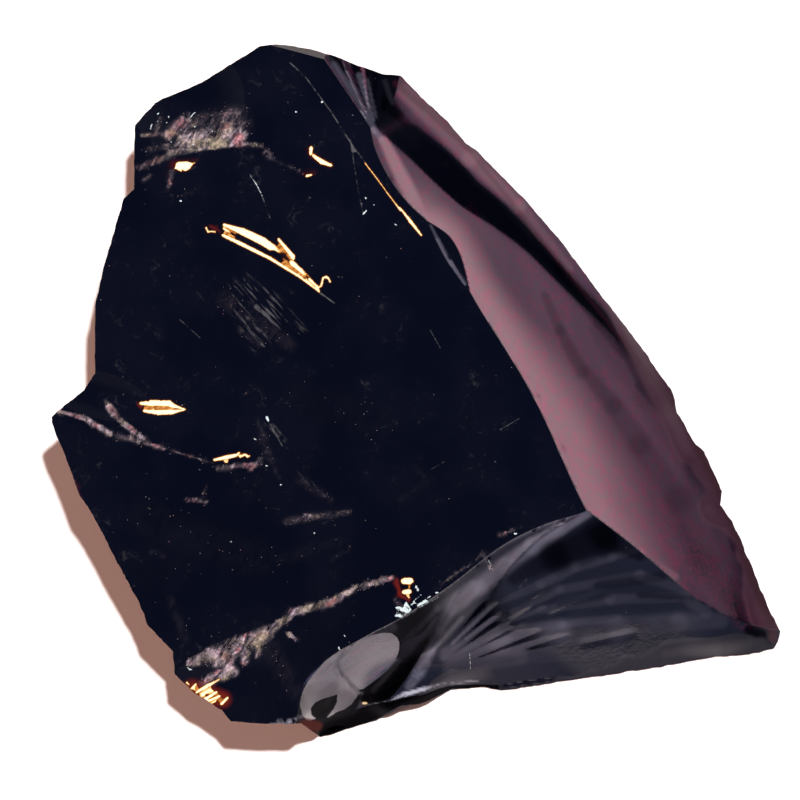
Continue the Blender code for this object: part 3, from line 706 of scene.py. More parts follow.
# Dust, most of it in the old scars.
DUST = drawn_strokes(ON_TOP, [
    (188, 140, 236, 134, 9, 10, 0.9), (196, 130, 236, 122, 14, 15, 0.42),
    (216, 124, 230, 112, 7, 5, 0.4), (176, 150, 186, 134, 5, 5, 0.6),
    (170, 153.5, 200, 147.5, 3.6, 3.4, 0.8), (200, 147, 240, 143.5, 3.4, 3, 0.95),
    (240, 144, 262, 145.5, 1.6, 1, 0.65), (138, 168, 172, 155, 2.6, 3.4, 0.5),
    (142, 135.5, 176, 133, 2.4, 2.6, 0.5), (168, 134, 186, 119, 6, 6, 0.72),
    (156, 130, 161, 118, 3, 2.4, 0.4), (148, 150, 168, 146, 4, 4, 0.3),
    (150, 176, 144, 180, 2.4, 2, 0.35), (172, 172, 169, 187, 3, 2.2, 0.5),
    (266, 152, 270, 158, 2.6, 2.6, 0.6), (272, 160, 300, 171, 1.2, 1, 0.3),
    (58, 411, 84, 418, 1.4, 2.4, 0.85), (84, 418, 110, 434, 2.6, 2.8, 0.9),
    (105, 401, 109, 407, 2, 3.2, 0.6), (109, 407, 114, 414, 3.6, 4, 0.9),
    (114, 414, 124, 424, 3.4, 2.4, 0.5), (124, 424, 134, 432, 2.8, 3, 0.8),
    (134, 432, 146, 440, 3, 2, 0.5), (110, 434, 166, 449, 2.8, 1.4, 0.6),
    (166, 449, 215, 464, 1.2, 1, 0.35), (218, 468, 262, 464, 2.4, 1.6, 0.55),
    (250, 470, 262, 458, 2, 1.6, 0.55), (190, 664, 214, 655, 4, 8, 0.8),
    (214, 658, 240, 646, 9, 9, 1.05), (238, 648, 266, 634, 8, 7, 1),
    (226, 668, 236, 646, 4, 4, 0.9), (244, 662, 250, 640, 4, 4, 0.95),
    (256, 656, 262, 636, 3, 4, 0.9), (205, 682, 232, 672, 6, 6, 0.75),
    (262, 636, 290, 617, 5, 2.6, 0.85), (290, 613, 330, 603, 3.2, 3.8, 1.05),
    (330, 603, 356, 588, 3.6, 2.4, 0.95), (356, 588, 392, 578, 2.2, 2, 0.95),
    (288, 634, 296, 640, 1.8, 1.4, 0.7), (180, 196, 200, 190, 2, 2, 0.2),
    (262, 440, 278, 478, 5, 3, 0.22), (300, 480, 330, 500, 6, 4, 0.2),
    (286, 522, 350, 512, 4, 3, 0.34), (306, 516, 318, 516, 3, 3, 0.4),
    (330, 560, 352, 548, 3, 2, 0.18), (400, 500, 430, 480, 4, 3, 0.14),
    (258, 420, 268, 450, 3, 4, 0.25), (225, 300, 290, 345, 10, 8, 0.2),
    (240, 330, 260, 345, 4, 4, 0.22), (188, 500, 206, 502, 2.4, 2, 0.4),
    (203, 494, 207, 486, 1.6, 1.4, 0.3), (150, 552, 164, 556, 3, 3, 0.25),
    (270, 650, 300, 700, 12, 10, 0.16), (170, 600, 185, 640, 5, 5, 0.18),
    (280, 560, 340, 540, 8, 6, 0.12), (395, 600, 405, 612, 3, 3, 0.35),
    (150, 520, 260, 560, 22, 20, 0.1), (300, 400, 380, 420, 22, 20, 0.08),
    (500, 536, 515, 530, 1.4, 1.2, 0.5), (484, 556, 492, 570, 2.2, 2.4, 0.5),
    (476, 560, 484, 552, 1.2, 1.2, 0.5), (440, 585, 470, 565, 1, 1.2, 0.4),
])
# Pink stains in the dust.
PINK = drawn_strokes(ON_TOP, [
    (110, 408, 118, 416, 3, 3, 0.8), (128, 427, 136, 433, 2.5, 2, 0.6),
    (60, 410, 84, 420, 2, 2, 0.5), (176, 118, 190, 124, 4, 3, 0.7),
    (326, 606, 336, 600, 3.4, 3, 0.9), (372, 582, 380, 578, 2, 1.6, 0.7),
    (170, 134, 180, 122, 6, 6, 0.6), (140, 164, 160, 157, 5, 5, 0.7),
    (222, 127, 228, 125, 4, 3, 0.9), (150, 136, 166, 134, 4, 4, 0.6),
    (268, 155, 269, 156, 3, 3, 0.8), (222, 655, 236, 665, 5, 5, 0.6),
    (200, 684, 214, 680, 4, 3, 0.7), (255, 636, 268, 634, 4, 4, 0.4),
])
# Painted glow: deep red of light through thin glass, round some of the glints and at the lower left
# rim.
PAINTED_RED_GLOW = drawn_strokes(ON_TOP, [
    (305, 727, 316, 729, 6, 5, 1.15), (192, 690, 222, 700, 9, 8, 0.75),
    (309, 149, 311, 156, 3, 3, 0.25), (313, 157, 330, 165, 3, 3.4, 0.25),
    (304, 174, 316, 173, 2.6, 2, 0.25), (166, 172, 167, 178, 2.4, 2.2, 0.1),
    (174, 165, 188, 165, 5, 5, 0.3), (188, 161, 197, 160, 2.4, 2, 0.2),
    (138, 404, 142, 408, 1.6, 1.6, 0.6), (396, 580, 400, 596, 2.2, 2, 0.7),
    (404, 597, 410, 600, 2, 1.5, 0.8), (210, 226, 220, 232, 1.6, 1.2, 0.5),
])
# Pale bands of the front bevel: partly frosting, partly painted reflection of the pale floor.
FROST_AND_SHEEN = drawn_strokes(ON_BEVELS, [
    (587, 514, 560, 529, 4, 6, 0.9), (560, 529, 532, 547, 6, 8, 0.95),
    (532, 547, 506, 566, 8, 8, 0.6), (506, 566, 480, 587, 8, 8, 0.45),
    (480, 587, 452, 609, 7, 7, 0.55), (452, 609, 441, 632, 6, 5, 0.5),
    (441, 632, 430, 652, 5, 5, 0.45), (430, 652, 419, 674, 5, 6, 0.55),
    (419, 674, 409, 688, 5, 4, 0.6), (575, 514, 540, 524, 2.5, 3.5, 0.4),
    (540, 524, 500, 541, 3.5, 5, 0.4), (500, 541, 470, 561, 5, 6, 0.35),
    (470, 561, 440, 582, 6, 7, 0.25), (440, 582, 412, 602, 7, 6, 0.2),
    (520, 552, 470, 590, 7, 8, 0.15), (456, 596, 424, 640, 3, 3, 0.2),
    (430, 652, 462, 618, 2, 2, 0.3), (497, 604, 540, 585, 2.5, 4, 0.12),
    (540, 585, 575, 567, 4, 5, 0.16), (575, 567, 612, 557, 5, 4.5, 0.14),
    (612, 557, 645, 548, 4, 2.5, 0.12), (512, 612, 560, 590, 3, 4, 0.12),
    (560, 590, 640, 576, 4, 5, 0.1), (640, 576, 690, 592, 5, 4, 0.12),
    (540, 611, 610, 600, 4, 5, 0.1), (610, 600, 690, 598, 5, 4, 0.12),
    (690, 602, 708, 614, 5, 5, 0.12), (358, 641, 392, 627, 3.5, 5, 0.4),
    (404, 642, 438, 608, 3, 3, 0.3), (438, 608, 472, 584, 4, 4, 0.4),
    (412, 650, 436, 618, 1.4, 1.4, 0.3), (448, 656, 500, 642, 8, 12, 0.32),
    (500, 642, 560, 634, 12, 12, 0.29), (560, 634, 620, 630, 12, 11, 0.16),
    (620, 630, 680, 624, 11, 9, 0.15), (680, 623, 722, 622, 9, 7, 0.14),
    (450, 670, 520, 658, 7, 8, 0.12), (520, 658, 620, 650, 7, 8, 0.06),
    (480, 640, 522, 628, 3, 3.5, 0.2), (522, 628, 563, 626, 3.5, 4, 0.2),
    (563, 626, 619, 618, 4, 3, 0.15), (466, 640, 500, 614, 1.6, 2, 0.3),
    (452, 645, 490, 608, 1.6, 1.6, 0.4), (484, 634, 545, 608, 1.6, 2, 0.25),
])
# Painted highlights along the front rim.
PAINTED_GLEAM = drawn_strokes(ON_BEVELS, [
    (389, 703, 404, 696, 0.8, 2, 0.75), (404, 696, 424, 690.5, 2.2, 1.9, 0.9),
    (424, 690.5, 438, 686.5, 1.6, 1, 0.55), (438, 686.5, 446, 684.6, 1, 0.8, 0.2),
    (452, 684.6, 478, 683, 1, 0.8, 0.4), (365, 707, 386, 703, 0.5, 0.5, 0.3),
    (288, 722, 303, 716, 1, 1.6, 0.35), (270, 724, 290, 723, 0.5, 1, 0.25),
])
# Painted shade: dark streaks and hollows of the front bevel.
SHADE = drawn_strokes(ON_BEVELS, [
    (436, 640, 474, 602, 3.2, 4, 0.24), (474, 602, 490, 588, 4, 3, 0.24),
    (456, 636, 486, 610, 3, 4, 0.28), (486, 610, 500, 600, 4, 3, 0.26),
    (480, 642, 504, 631, 3, 4, 0.26), (504, 631, 545, 617, 4, 3, 0.24),
    (520, 606, 548, 590, 4, 3, 0.2), (598, 586, 662, 577, 3.8, 4.8, 0.32),
    (640, 596, 692, 599, 2.8, 2.8, 0.32), (560, 606, 610, 596, 2.6, 2.4, 0.26),
    (602, 536, 556, 556, 17, 15, 0.62), (556, 556, 514, 577, 13, 8, 0.5),
    (604, 536, 640, 556, 11, 5, 0.5), (596, 530, 606, 544, 12, 12, 0.4),
    (505, 566, 494, 590, 5, 5, 0.3), (752, 632, 768, 640, 6, 8, 0.8),
    (680, 658, 730, 652, 6, 7, 0.4), (730, 652, 770, 642, 8, 9, 0.6),
    (404, 646, 416, 618, 7, 8, 0.6), (416, 618, 440, 598, 7, 5, 0.4),
    (440, 598, 470, 578, 4, 3, 0.2), (560, 676, 640, 668, 3.5, 3.5, 0.3),
])
# Painted reflection on the pale ribs of the fan and the rims of the lens.
RIB_SHEEN = drawn_strokes(ON_BEVELS, [
    (334, 66, 356, 98, 3.4, 3.2, 0.95), (356, 98, 375, 132, 3, 2.6, 1),
    (347, 73, 371, 124, 1.6, 1.5, 0.9), (359, 76, 373, 121, 2.8, 1.8, 0.9),
    (367, 80, 376, 118, 1.7, 1.3, 0.5), (364, 116, 380, 138, 3, 3, 0.55),
    (385, 82, 392, 104, 2.5, 2, 0.15), (330, 62, 345, 84, 4, 4, 0.25),
    (437, 240, 450, 266, 1.4, 1.8, 0.6), (450, 262, 464, 284, 1.8, 1.6, 0.7),
    (430, 226, 446, 256, 1, 1.4, 0.4),
])
# Painted rosy reflection along the right bevel and its lip.
PAINTED_LIP_LIGHT = drawn_strokes(ON_BEVELS, [
    (404, 92, 470, 158, 7, 8, 0.35), (470, 158, 520, 205, 8, 6, 0.35),
    (520, 205, 570, 268, 6, 4, 0.2), (384, 142, 424, 222, 5, 9, 0.9),
    (424, 222, 440, 236, 9, 9, 0.9), (592, 518, 640, 553, 7, 6, 0.5),
    (640, 553, 676, 577, 6, 3.5, 0.4),
])
# Painted shade at the top of the right bevel.
TOP_SHADE = drawn_strokes(ON_BEVELS, [
    (386, 106, 406, 122, 6, 7, 0.85), (376, 84, 386, 98, 5, 5, 0.6),
    (384, 98, 380, 126, 3, 3, 0.6), (341, 70, 366, 116, 0.9, 0.9, 0.5),
    (352, 74, 371, 118, 0.9, 1, 0.5), (275, 49, 310, 55, 2.5, 2.5, 0.4),
    (424, 222, 440, 256, 1.4, 1.6, 0.5), (380, 146, 390, 180, 2.4, 3.2, 0.55),
    (390, 180, 404, 206, 3.2, 1.6, 0.4),
])
# Painted shade: dimmer streaks down the right bevel.
PAINTED_DIM = drawn_strokes(ON_BEVELS, [
    (545, 296, 560, 330, 4, 5, 0.45), (560, 330, 582, 372, 5, 7, 0.6),
    (585, 371, 614, 406, 6, 9, 0.5), (614, 406, 640, 445, 9, 11, 0.45),
    (640, 445, 680, 500, 11, 14, 0.42), (680, 500, 710, 560, 14, 15, 0.42),
    (700, 560, 735, 600, 14, 12, 0.4), (600, 330, 650, 395, 10, 14, 0.3),
    (650, 395, 700, 470, 14, 16, 0.35), (700, 470, 745, 580, 14, 10, 0.4),
    (640, 385, 680, 427, 4, 6, 0.9), (680, 427, 714, 484, 6, 6, 0.8),
    (714, 484, 738, 548, 5, 4.5, 0.7), (738, 548, 764, 606, 4.5, 6, 0.8),
    (560, 268, 600, 322, 5, 6, 0.65), (600, 322, 624, 352, 6, 6, 0.7),
    (620, 340, 645, 388, 5, 5, 0.8), (520, 215, 560, 268, 3, 5, 0.4),
])
# Painted glow: deep red of light through the thin rims.
RIM_GLOW_STROKES = drawn_strokes(ON_BEVELS, [
    (396, 84, 425, 108, 3.4, 3.4, 0.9), (425, 108, 470, 150, 3, 2.4, 0.8),
    (470, 150, 560, 262, 2.2, 2.2, 0.7), (560, 262, 680, 410, 2.2, 2.2, 0.7),
    (680, 410, 725, 500, 3, 3.4, 0.9), (725, 500, 768, 612, 3.8, 4.4, 0.95),
    (768, 612, 776, 640, 3, 4, 0.8), (70, 470, 120, 590, 0.9, 0.9, 0.7),
    (120, 590, 190, 705, 0.9, 1.1, 0.8), (228, 722, 262, 726, 0.8, 0.8, 0.6),
])
# Red blush on the bevels.
BLUSH = drawn_strokes(ON_BEVELS, [
    (470, 205, 480, 235, 4, 5, 0.35), (620, 380, 650, 420, 8, 10, 0.35),
    (640, 500, 700, 560, 20, 20, 0.5), (600, 430, 640, 480, 10, 14, 0.3),
    (690, 560, 750, 620, 14, 12, 0.6), (350, 646, 376, 640, 3, 3, 0.35),
    (318, 694, 336, 676, 2, 2, 0.45), (560, 340, 600, 400, 10, 10, 0.25),
])
# Painted shade on the pale flake scars.
SCAR_SHADE = drawn_strokes(ON_BEVELS, [
    (310, 702, 346, 702, 12, 12, 0.9), (308, 690, 334, 686, 6, 6, 0.5),
    (337, 661, 341, 672, 0.8, 1.4, 0.75), (341, 672, 352, 687, 1.4, 2.4, 0.9),
    (352, 687, 360, 694, 2.6, 3, 0.8), (345, 646, 340, 660, 1.2, 1.2, 0.5),
    (374, 692, 398, 662, 3, 3, 0.45), (300, 714, 307, 688, 5, 5, 0.6),
    (333, 688, 320, 696, 5, 4, 0.7), (356, 640, 376, 634, 2, 3, 0.4),
    (384, 632, 396, 636, 2.5, 3, 0.4),
])
# Where the painted shade of a dark flake scar is lighter.
SCAR_SHADE_LIFT = drawn_strokes(ON_BEVELS, [
    (402, 652, 416, 634, 9, 8, 0.9), (416, 634, 432, 628, 7, 6, 0.9),
    (330, 698, 326, 706, 3, 3, 0.3),
])
# Outlines of the flake scars that are painted pale, with painted reflection, and of those beside
# them that are painted dark, with painted shade.
LIGHT_SCARS = drawn_shapes(ON_BEVELS, [
    [(301, 694), (303, 685), (308, 677), (316, 669), (326, 660), (338, 652), (350, 645),
     (353, 648), (344, 656), (337.5, 663), (338, 669), (342, 676.5), (348, 685), (355, 691),
     (362, 694), (356, 699), (351, 706), (344, 711), (336, 714), (329, 719), (325, 720),
     (332, 712), (336.5, 704), (337, 695), (330, 697.5), (322, 699.5), (315, 703), (310.5, 709),
     (311.5, 716), (316, 720), (308, 722), (303, 717), (300, 706)],
    [(337, 663), (345, 655), (351, 646), (359, 640), (369, 635.5), (383, 632.5), (391, 633),
     (396.5, 637), (399.5, 643), (399, 651), (396, 660), (389, 669), (379, 678), (370, 685),
     (364, 690), (356, 692), (347.5, 683.5), (340.5, 673)],
])
DARK_SCARS = drawn_shapes(ON_BEVELS, [
    [(311, 716), (311, 709), (316, 703), (322, 700), (330, 698), (336, 696), (335.5, 703),
     (331, 711), (325, 719), (318, 721)],
    [(365, 688.5), (371, 684), (380, 678), (390, 669), (397, 661), (400, 653), (400, 646),
     (408, 640), (417, 636), (428, 629), (433, 631), (428, 643), (421, 656), (414, 668),
     (406, 681), (396, 694), (389, 701), (378, 704), (367, 706), (358, 702), (356, 696)],
    [(322, 722), (341, 715.5), (354, 711), (376, 705), (391, 702), (406, 698.5), (423, 696),
     (436, 691), (448.6, 687.4), (472, 686.4), (500, 686.7), (500, 692), (470, 693), (440, 700),
     (400, 712), (350, 732), (325, 740), (312, 742), (306, 737), (314, 729)],
])


# ------------------------------------------------------------------ the mesh

RIM_SPACING = 0.32
BEVEL_SPACING = 0.25  # on the bevels, the fan, the hollows and beside every ridge
FLAT_SPACING = 0.6  # on the rest of the broad face
WALL_SPACING = 0.36  # on the undercut sides
BASE_SPACING = 1.3  # on the flat underside
STROKE_SPACING = 0.22  # along glints and scratches
BESIDE_RIDGE = 0.5  # height between two faces within which the fine spacing holds
BESIDE_STROKE = 0.45
DUST_FINE = 0.25  # cover of dust over which it holds too
WIDE_STROKE = 0.12  # a stroke wider than this has points along both its sides
BESIDE_POINT = 0.7  # a grid point this share of the stroke spacing from a stroke's is left out
LONE_WITHIN = 0.5
SAME_POINT = 1e-5
HALVINGS = 14  # in the search for where two faces meet
MOVE_WITHIN = 0.35  # share of an edge within which its end is moved onto the crease


def rim_points(longest):
    """The outline at a fine spacing, wandering a little and nibbled on its thin edges."""
    points = []
    outward = []
    for k, start in enumerate(OUTLINE):
        end = OUTLINE[(k + 1) % len(OUTLINE)]
        span = np.subtract(end, start)
        pieces = max(1, int(np.ceil(np.hypot(*span) / longest)))
        for n in range(pieces):
            points.append(start + span * (n / pieces))
            outward.append(np.array([-span[1], span[0]]) / np.hypot(*span))
    points = np.array(points)
    outward = np.array(outward)
    outward = outward + np.roll(outward, 1, axis=0) + np.roll(outward, -1, axis=0)
    outward = outward / np.hypot(*outward.T)[:, None]
    x, y = points.T
    wander = RIM_WANDER * grain(x, y, RIM_WANDER_SIZE, 31)
    thin = ease(x, NIBBLES_FROM[0] - 4, NIBBLES_FROM[0]) * (y < NIBBLES_FROM[1])
    bites = np.maximum(lumps(x, y, NIBBLE_LENGTH, 35), 0)
    return points + outward * (wander - NIBBLE_DEPTH * thin * bites)[:, None]


def distance_inside(points, ring):
    """Distance from each point to the closed ring, negative outside it."""
    nearest = np.full(len(points), np.inf)
    inside = np.zeros(len(points), bool)
    for start, end in zip(ring, np.roll(ring, -1, axis=0)):
        span = end - start
        share = np.clip(((points - start) @ span) / (span @ span), 0, 1)
        gap = points - start - share[:, None] * span
        nearest = np.minimum(nearest, (gap**2).sum(axis=1))
        crosses = (start[1] > points[:, 1]) != (end[1] > points[:, 1])
        rise = span[1] if span[1] else 1.0
        left = points[:, 0] < start[0] + span[0] * (points[:, 1] - start[1]) / rise
        inside ^= crosses & left
    nearest = np.sqrt(nearest)
    return np.where(inside, nearest, -nearest)


def grid_points(spacing, ring, wanted):
    """Points of a triangular grid inside the ring, where they are wanted."""
    row = spacing * np.sqrt(3) / 2
    low = ring.min(axis=0)
    high = ring.max(axis=0)
    ys = np.arange(low[1], high[1], row)
    xs = np.arange(low[0], high[0] + spacing, spacing)
    x, y = np.meshgrid(xs, ys)
    x = x + (np.arange(len(ys)) % 2)[:, None] * spacing / 2
    points = np.stack([x.ravel(), y.ravel()], axis=1)
    points = points[wanted(*points.T)]
    clear = min(0.6 * spacing, 0.5 * RIM_SPACING)
    return points[distance_inside(points, ring) > clear]


def stroke_points(strokes, ring):
    """Points along the middle of every stroke and both sides of the wide ones."""
    points = []
    for start, end, start_width, end_width in strokes:
        span = np.subtract(end, start)
        length = max(np.hypot(*span), SAME_POINT)
        aside = np.array([-span[1], span[0]]) / length
        pieces = max(1, int(np.ceil(length / STROKE_SPACING)))
        for share in np.linspace(0, 1, pieces + 1):
            middle = start + span * share
            width = start_width + (end_width - start_width) * share
            points.append(middle)
            if width > WIDE_STROKE:
                points += [middle + aside * width, middle - aside * width]
    points = np.array(points)
    return points[distance_inside(points, ring) > 0.5 * RIM_SPACING]


def thinned(points, kept):
    """The points that aren't right beside one of those kept."""
    cell = STROKE_SPACING * BESIDE_POINT
    taken = set()
    for column, row in np.floor(kept / cell).astype(int):
        taken.update((column + i, row + j) for i in (-1, 0, 1) for j in (-1, 0, 1))
    cells = np.floor(points / cell).astype(int)
    free = [(column, row) not in taken for column, row in cells]
    return points[np.array(free, bool)]


def lone(points):
    """One point for each small cell of the plan."""
    cell = STROKE_SPACING * LONE_WITHIN
    _, first = np.unique(np.round(points / cell).astype(int), axis=0, return_index=True)
    return points[np.sort(first)]


def top_points(ring):
    """Grid points of the upper surface: fine where it is worked, coarse where it is flat."""
    strokes = PAINTED_GLINT_STROKES + CHIP_AND_SPARKLE_STROKES + SCRATCHES

    def busy(x, y):
        heights = np.sort(face_heights(x, y), axis=0)
        found = upper_surface(x, y)[1] > 0
        found |= heights[1] - heights[0] < BESIDE_RIDGE
        found |= stroke_depth(strokes, x, y) > -BESIDE_STROKE
        return found | (patch_cover(DUST, x, y) > DUST_FINE)

    centres = lone(stroke_points(strokes, ring))
    fine = thinned(grid_points(BEVEL_SPACING, ring, busy), centres)
    coarse = thinned(grid_points(FLAT_SPACING, ring, lambda x, y: ~busy(x, y)), centres)
    return np.concatenate([centres, fine, coarse])


def under_points(ring):
    def wall(x, y):
        return lower_surface(x, y)[0] > 0.0

    def base(x, y):
        return lower_surface(x, y)[0] <= 0.0

    walls = grid_points(WALL_SPACING, ring, wall)
    return np.concatenate([walls, grid_points(BASE_SPACING, ring, base)])


def triangulate(points, ring_size, creases):
    """Delaunay triangles inside the ring, with an edge along every crease."""
    ring = list(range(ring_size))
    found = delaunay_2d_cdt([Vector(p) for p in points], creases, [ring], 1, SAME_POINT)
    flat = np.array([tuple(v) for v in found[0]])
    faces = np.array([list(f) for f in found[2]])
    corners = flat[faces]
    first = corners[:, 1] - corners[:, 0]
    second = corners[:, 2] - corners[:, 0]
    turn = first[:, 0] * second[:, 1] - first[:, 1] * second[:, 0]
    faces[turn < 0] = faces[turn < 0][:, ::-1]
    rim_at = {}
    for new, olds in enumerate(found[3]):
        for old in olds:
            if old < ring_size:
                rim_at[old] = new
    return flat, faces, [rim_at[k] for k in ring]


def crease_lines(surface, points, faces, ring_size):
    """Points moved or added where two faces of the surface meet, and the edges between them."""
    which = surface(*points.T)[1]
    sides = np.concatenate([faces[:, [0, 1]], faces[:, [1, 2]], faces[:, [2, 0]]])
    edges, of_face = np.unique(np.sort(sides, axis=1), axis=0, return_inverse=True)
    of_face = of_face.reshape(3, -1).T
    crossed = which[edges[:, 0]] != which[edges[:, 1]]
    a, b = edges[crossed].T
    low, high = np.zeros(len(a)), np.ones(len(a))
    for _ in range(HALVINGS):
        middle = (low + high) / 2
        x, y = (points[a] + middle[:, None] * (points[b] - points[a])).T
        same = surface(x, y)[1] == which[a]
        low, high = np.where(same, middle, low), np.where(same, high, middle)
    share = (low + high) / 2
    place = points[a] + share[:, None] * (points[b] - points[a])
    moved = points.copy()
    least = np.full(len(points), np.inf)
    stands_for = np.full(len(edges), -1)
    added = []
    for k, edge in enumerate(np.flatnonzero(crossed)):
        near = a[k] if share[k] < 0.5 else b[k]
        off = min(share[k], 1 - share[k])
        on_rim = a[k] < ring_size and b[k] < ring_size
        if off < MOVE_WITHIN or on_rim:
            stands_for[edge] = near
            if near >= ring_size and off < least[near]:
                least[near] = off
                moved[near] = place[k]
        else:
            stands_for[edge] = len(points) + len(added)
            added.append(place[k])
    creases = set()
    for row in stands_for[of_face]:
        ends = sorted({int(v) for v in row if v >= 0})
        if len(ends) == 2:
            creases.add(tuple(ends))
        elif len(ends) == 3:
            centre = len(points) + len(added)
            corners = [moved[v] if v < len(points) else added[v - len(points)] for v in ends]
            added.append(np.mean(corners, axis=0))
            creases.update((v, centre) for v in ends)
    if added:
        moved = np.concatenate([moved, np.array(added)])
    return moved, sorted(creases)


def surface_mesh(surface, rim, inner):
    """Plan points, triangles and rim numbers of one surface, with edges along its creases."""
    points = np.concatenate([rim, inner])
    flat, faces, order = triangulate(points, len(rim), [])
    rest = np.setdiff1d(np.arange(len(flat)), order)
    new_number = np.empty(len(flat), int)
    new_number[np.concatenate([order, rest])] = np.arange(len(flat))
    flat, faces = flat[np.concatenate([order, rest])], new_number[faces]
    moved, creases = crease_lines(surface, flat, faces, len(rim))
    return triangulate(moved, len(rim), creases)


RIM = rim_points(RIM_SPACING)


def joined_surfaces():
    """Both surfaces as one mesh, joined along the rim, with the box's middle over the origin.
    Also the plan place and the height of each point, and 1 for those of the upper surface."""
    outline = np.array(OUTLINE)
    centre = (outline.min(axis=0) + outline.max(axis=0)) / 2
    top, top_faces, top_rim = surface_mesh(carved_top, RIM, top_points(RIM))
    under, under_faces, under_rim = surface_mesh(carved_underside, RIM, under_points(RIM))
    count = len(top)
    number = np.arange(len(under)) + count
    number[under_rim] = top_rim
    inner = np.setdiff1d(np.arange(len(under)), under_rim)
    number[inner] = count + np.arange(len(inner))
    plan = np.concatenate([top, under[inner]])
    height = np.concatenate([carved_top(*top.T)[0], carved_underside(*under[inner].T)[0]])
    places = np.column_stack([(plan - centre) * MM, height * MM])
    faces = np.concatenate([top_faces, number[under_faces][:, ::-1]])
    mesh = bpy.data.meshes.new("broken_glass")
    mesh.from_pydata(places.tolist(), [], faces.tolist())
    mesh.validate()
    return mesh, plan, height, (np.arange(len(plan)) < count) * 1.0


# ------------------------------------------------------------------ marks and tones by point

SLOPE_STEP = 0.15  # over what step a surface's slope is taken
SIDE_KEPT = 0.5  # how far over another face is told apart
GAP_SHARPNESS = 3.0
DUST_GATHERED = 1.5  # the grains lie closer where the dust is thick
LONE_GRAINS = 0.0015  # thickness of dust on the clean parts of the broad face

MIRRORS_FLOOR = (0.95, 1.08)  # slopes from which a face would mirror the pale floor; the right bevel gets painted reflection there, and the front bevel mirrors only in its painted colour
CLIFF_STEEP = (1.4, 1.9)  # slopes from which it is rough
LOW_DOWN = (3.0, 5.0)  # heights under which the right bevel has painted reflection down to its rim
FLOOR_SEEN = 0.35  # how much of the floor the front bevel still mirrors under its pale painted bands
EDGE_DARK = (0.15, 0.5)  # how near the outline is darker
EDGE_PAINTED_MIRROR = 0.7

BROUGHT_DOWN = (0.0, 0.10)  # how far the thin edge lies under the bevel
EDGE_CARRIED = 1  # how many mesh edges further in its tone starts
EDGE_EVENED = 5
EDGE_FADE = (0.05, 0.95)
EDGE_ROUGH = 0.35
EDGE_UNFROSTED = 0.4
FRONT_RIM_PAINTED_MIRROR = 0.92
RIGHT_RIM_PAINTED_MIRROR = 0.95

INNER_REACH = (4.2, 9.0)  # how far from its upper edge the right bevel has a brighter, rosy painted reflection
INNER_GROWS = (-36.0, 0.0)
INNER_FROM = (-46.0, -38.0)
INNER_FADE = (0.1, 1.0)
RIGHT_PAINTED_MIRROR = 0.62
RIGHT_DIM = 0.3

STREAK_TURN = 100.0  # the pale painted bands are streaked away from where the hackles start
STREAK_LENGTH = 4.0
STREAK_SEED = 41
STREAK_OVER = (0.15, 0.8)
STREAK_LEAST = 0.55


def steepness(surface, x, y):
    """Rise over run of a surface, over a short step either way."""
    step = SLOPE_STEP
    across = surface(x + step, y)[0] - surface(x - step, y)[0]
    up = surface(x, y + step)[0] - surface(x, y - step)[0]
    return np.hypot(across, up) / (2 * step)


def carried_over(mesh, values):
    """The values carried to their neighbours, the highest first, then evened out."""
    pairs = np.empty(2 * len(mesh.edges), np.int32)
    mesh.edges.foreach_get("vertices", pairs)
    one, other = pairs.reshape(-1, 2).T
    links = np.bincount(pairs, minlength=len(values))
    for _ in range(EDGE_CARRIED):
        before = values.copy()
        np.maximum.at(values, one, before[other])
        np.maximum.at(values, other, before[one])
    for _ in range(EDGE_EVENED):
        near = np.bincount(one, weights=values[other], minlength=len(values))
        near += np.bincount(other, weights=values[one], minlength=len(values))
        values = (values + near) / (1 + links)
    return values


def sides_by_face(x, y):
    """How far the front, the right and all the worked faces lie under the others."""
    each = face_heights(x, y)
    front = np.delete(each, 2, axis=0).min(axis=0) - each[2]
    right = each[[0, 2, 4, 5, 6, 7, 8]].min(axis=0) - each[[1, 3]].min(axis=0)
    worked = each[[0, 6, 7, 8]].min(axis=0) - each[1:6].min(axis=0)
    return {"front": front, "right": right, "worked": worked}


def crisp_marks(x, y):
    """How deep inside each crisp mark the points are."""
    gaps = GAP_SHARPNESS * stroke_depth(PAINTED_GLINT_GAPS, x, y)
    return {
        "painted_glint": np.minimum(stroke_depth(PAINTED_GLINT_STROKES, x, y), -gaps),
        "white": stroke_depth(CHIP_AND_SPARKLE_STROKES, x, y),
        "scratch": stroke_depth(SCRATCHES, x, y),
        "pale_scar": shape_depth(LIGHT_SCARS, x, y),
        "dark_scar": shape_depth(DARK_SCARS, x, y),
    }


def soft_marks(x, y):
    """Cover of each soft mark."""
    laid = {"dust": DUST, "pink": PINK, "glow": PAINTED_RED_GLOW, "scuff": SCUFFS}
    shaded = {"rim_glow": RIM_GLOW_STROKES, "blush": BLUSH, "painted_gleam": PAINTED_GLEAM, "ribs": RIB_SHEEN, "dim": PAINTED_DIM,
              "shadow": SHADE, "scar_shade": SCAR_SHADE, "scar_shade_lift": SCAR_SHADE_LIFT}
    found = {name: patch_cover(patches, x, y) for name, patches in laid.items()}
    found.update({name: soft_cover(patches, x, y) for name, patches in shaded.items()})
    return found


def frosted_sheen(x, y):
    """The pale bands of the front bevel, partly frosting and partly painted reflection, streaked
    away from where the hackles start.
    """
    turn = np.arctan2(y - HACKLE_FROM[1], x - HACKLE_FROM[0])
    reach = np.hypot(x - HACKLE_FROM[0], y - HACKLE_FROM[1])
    streak = 0.5 + 0.5 * grain(turn * STREAK_TURN, reach, STREAK_LENGTH, STREAK_SEED)
    return soft_cover(FROST_AND_SHEEN, x, y) * (STREAK_LEAST + (1 - STREAK_LEAST) * ease(streak, *STREAK_OVER))


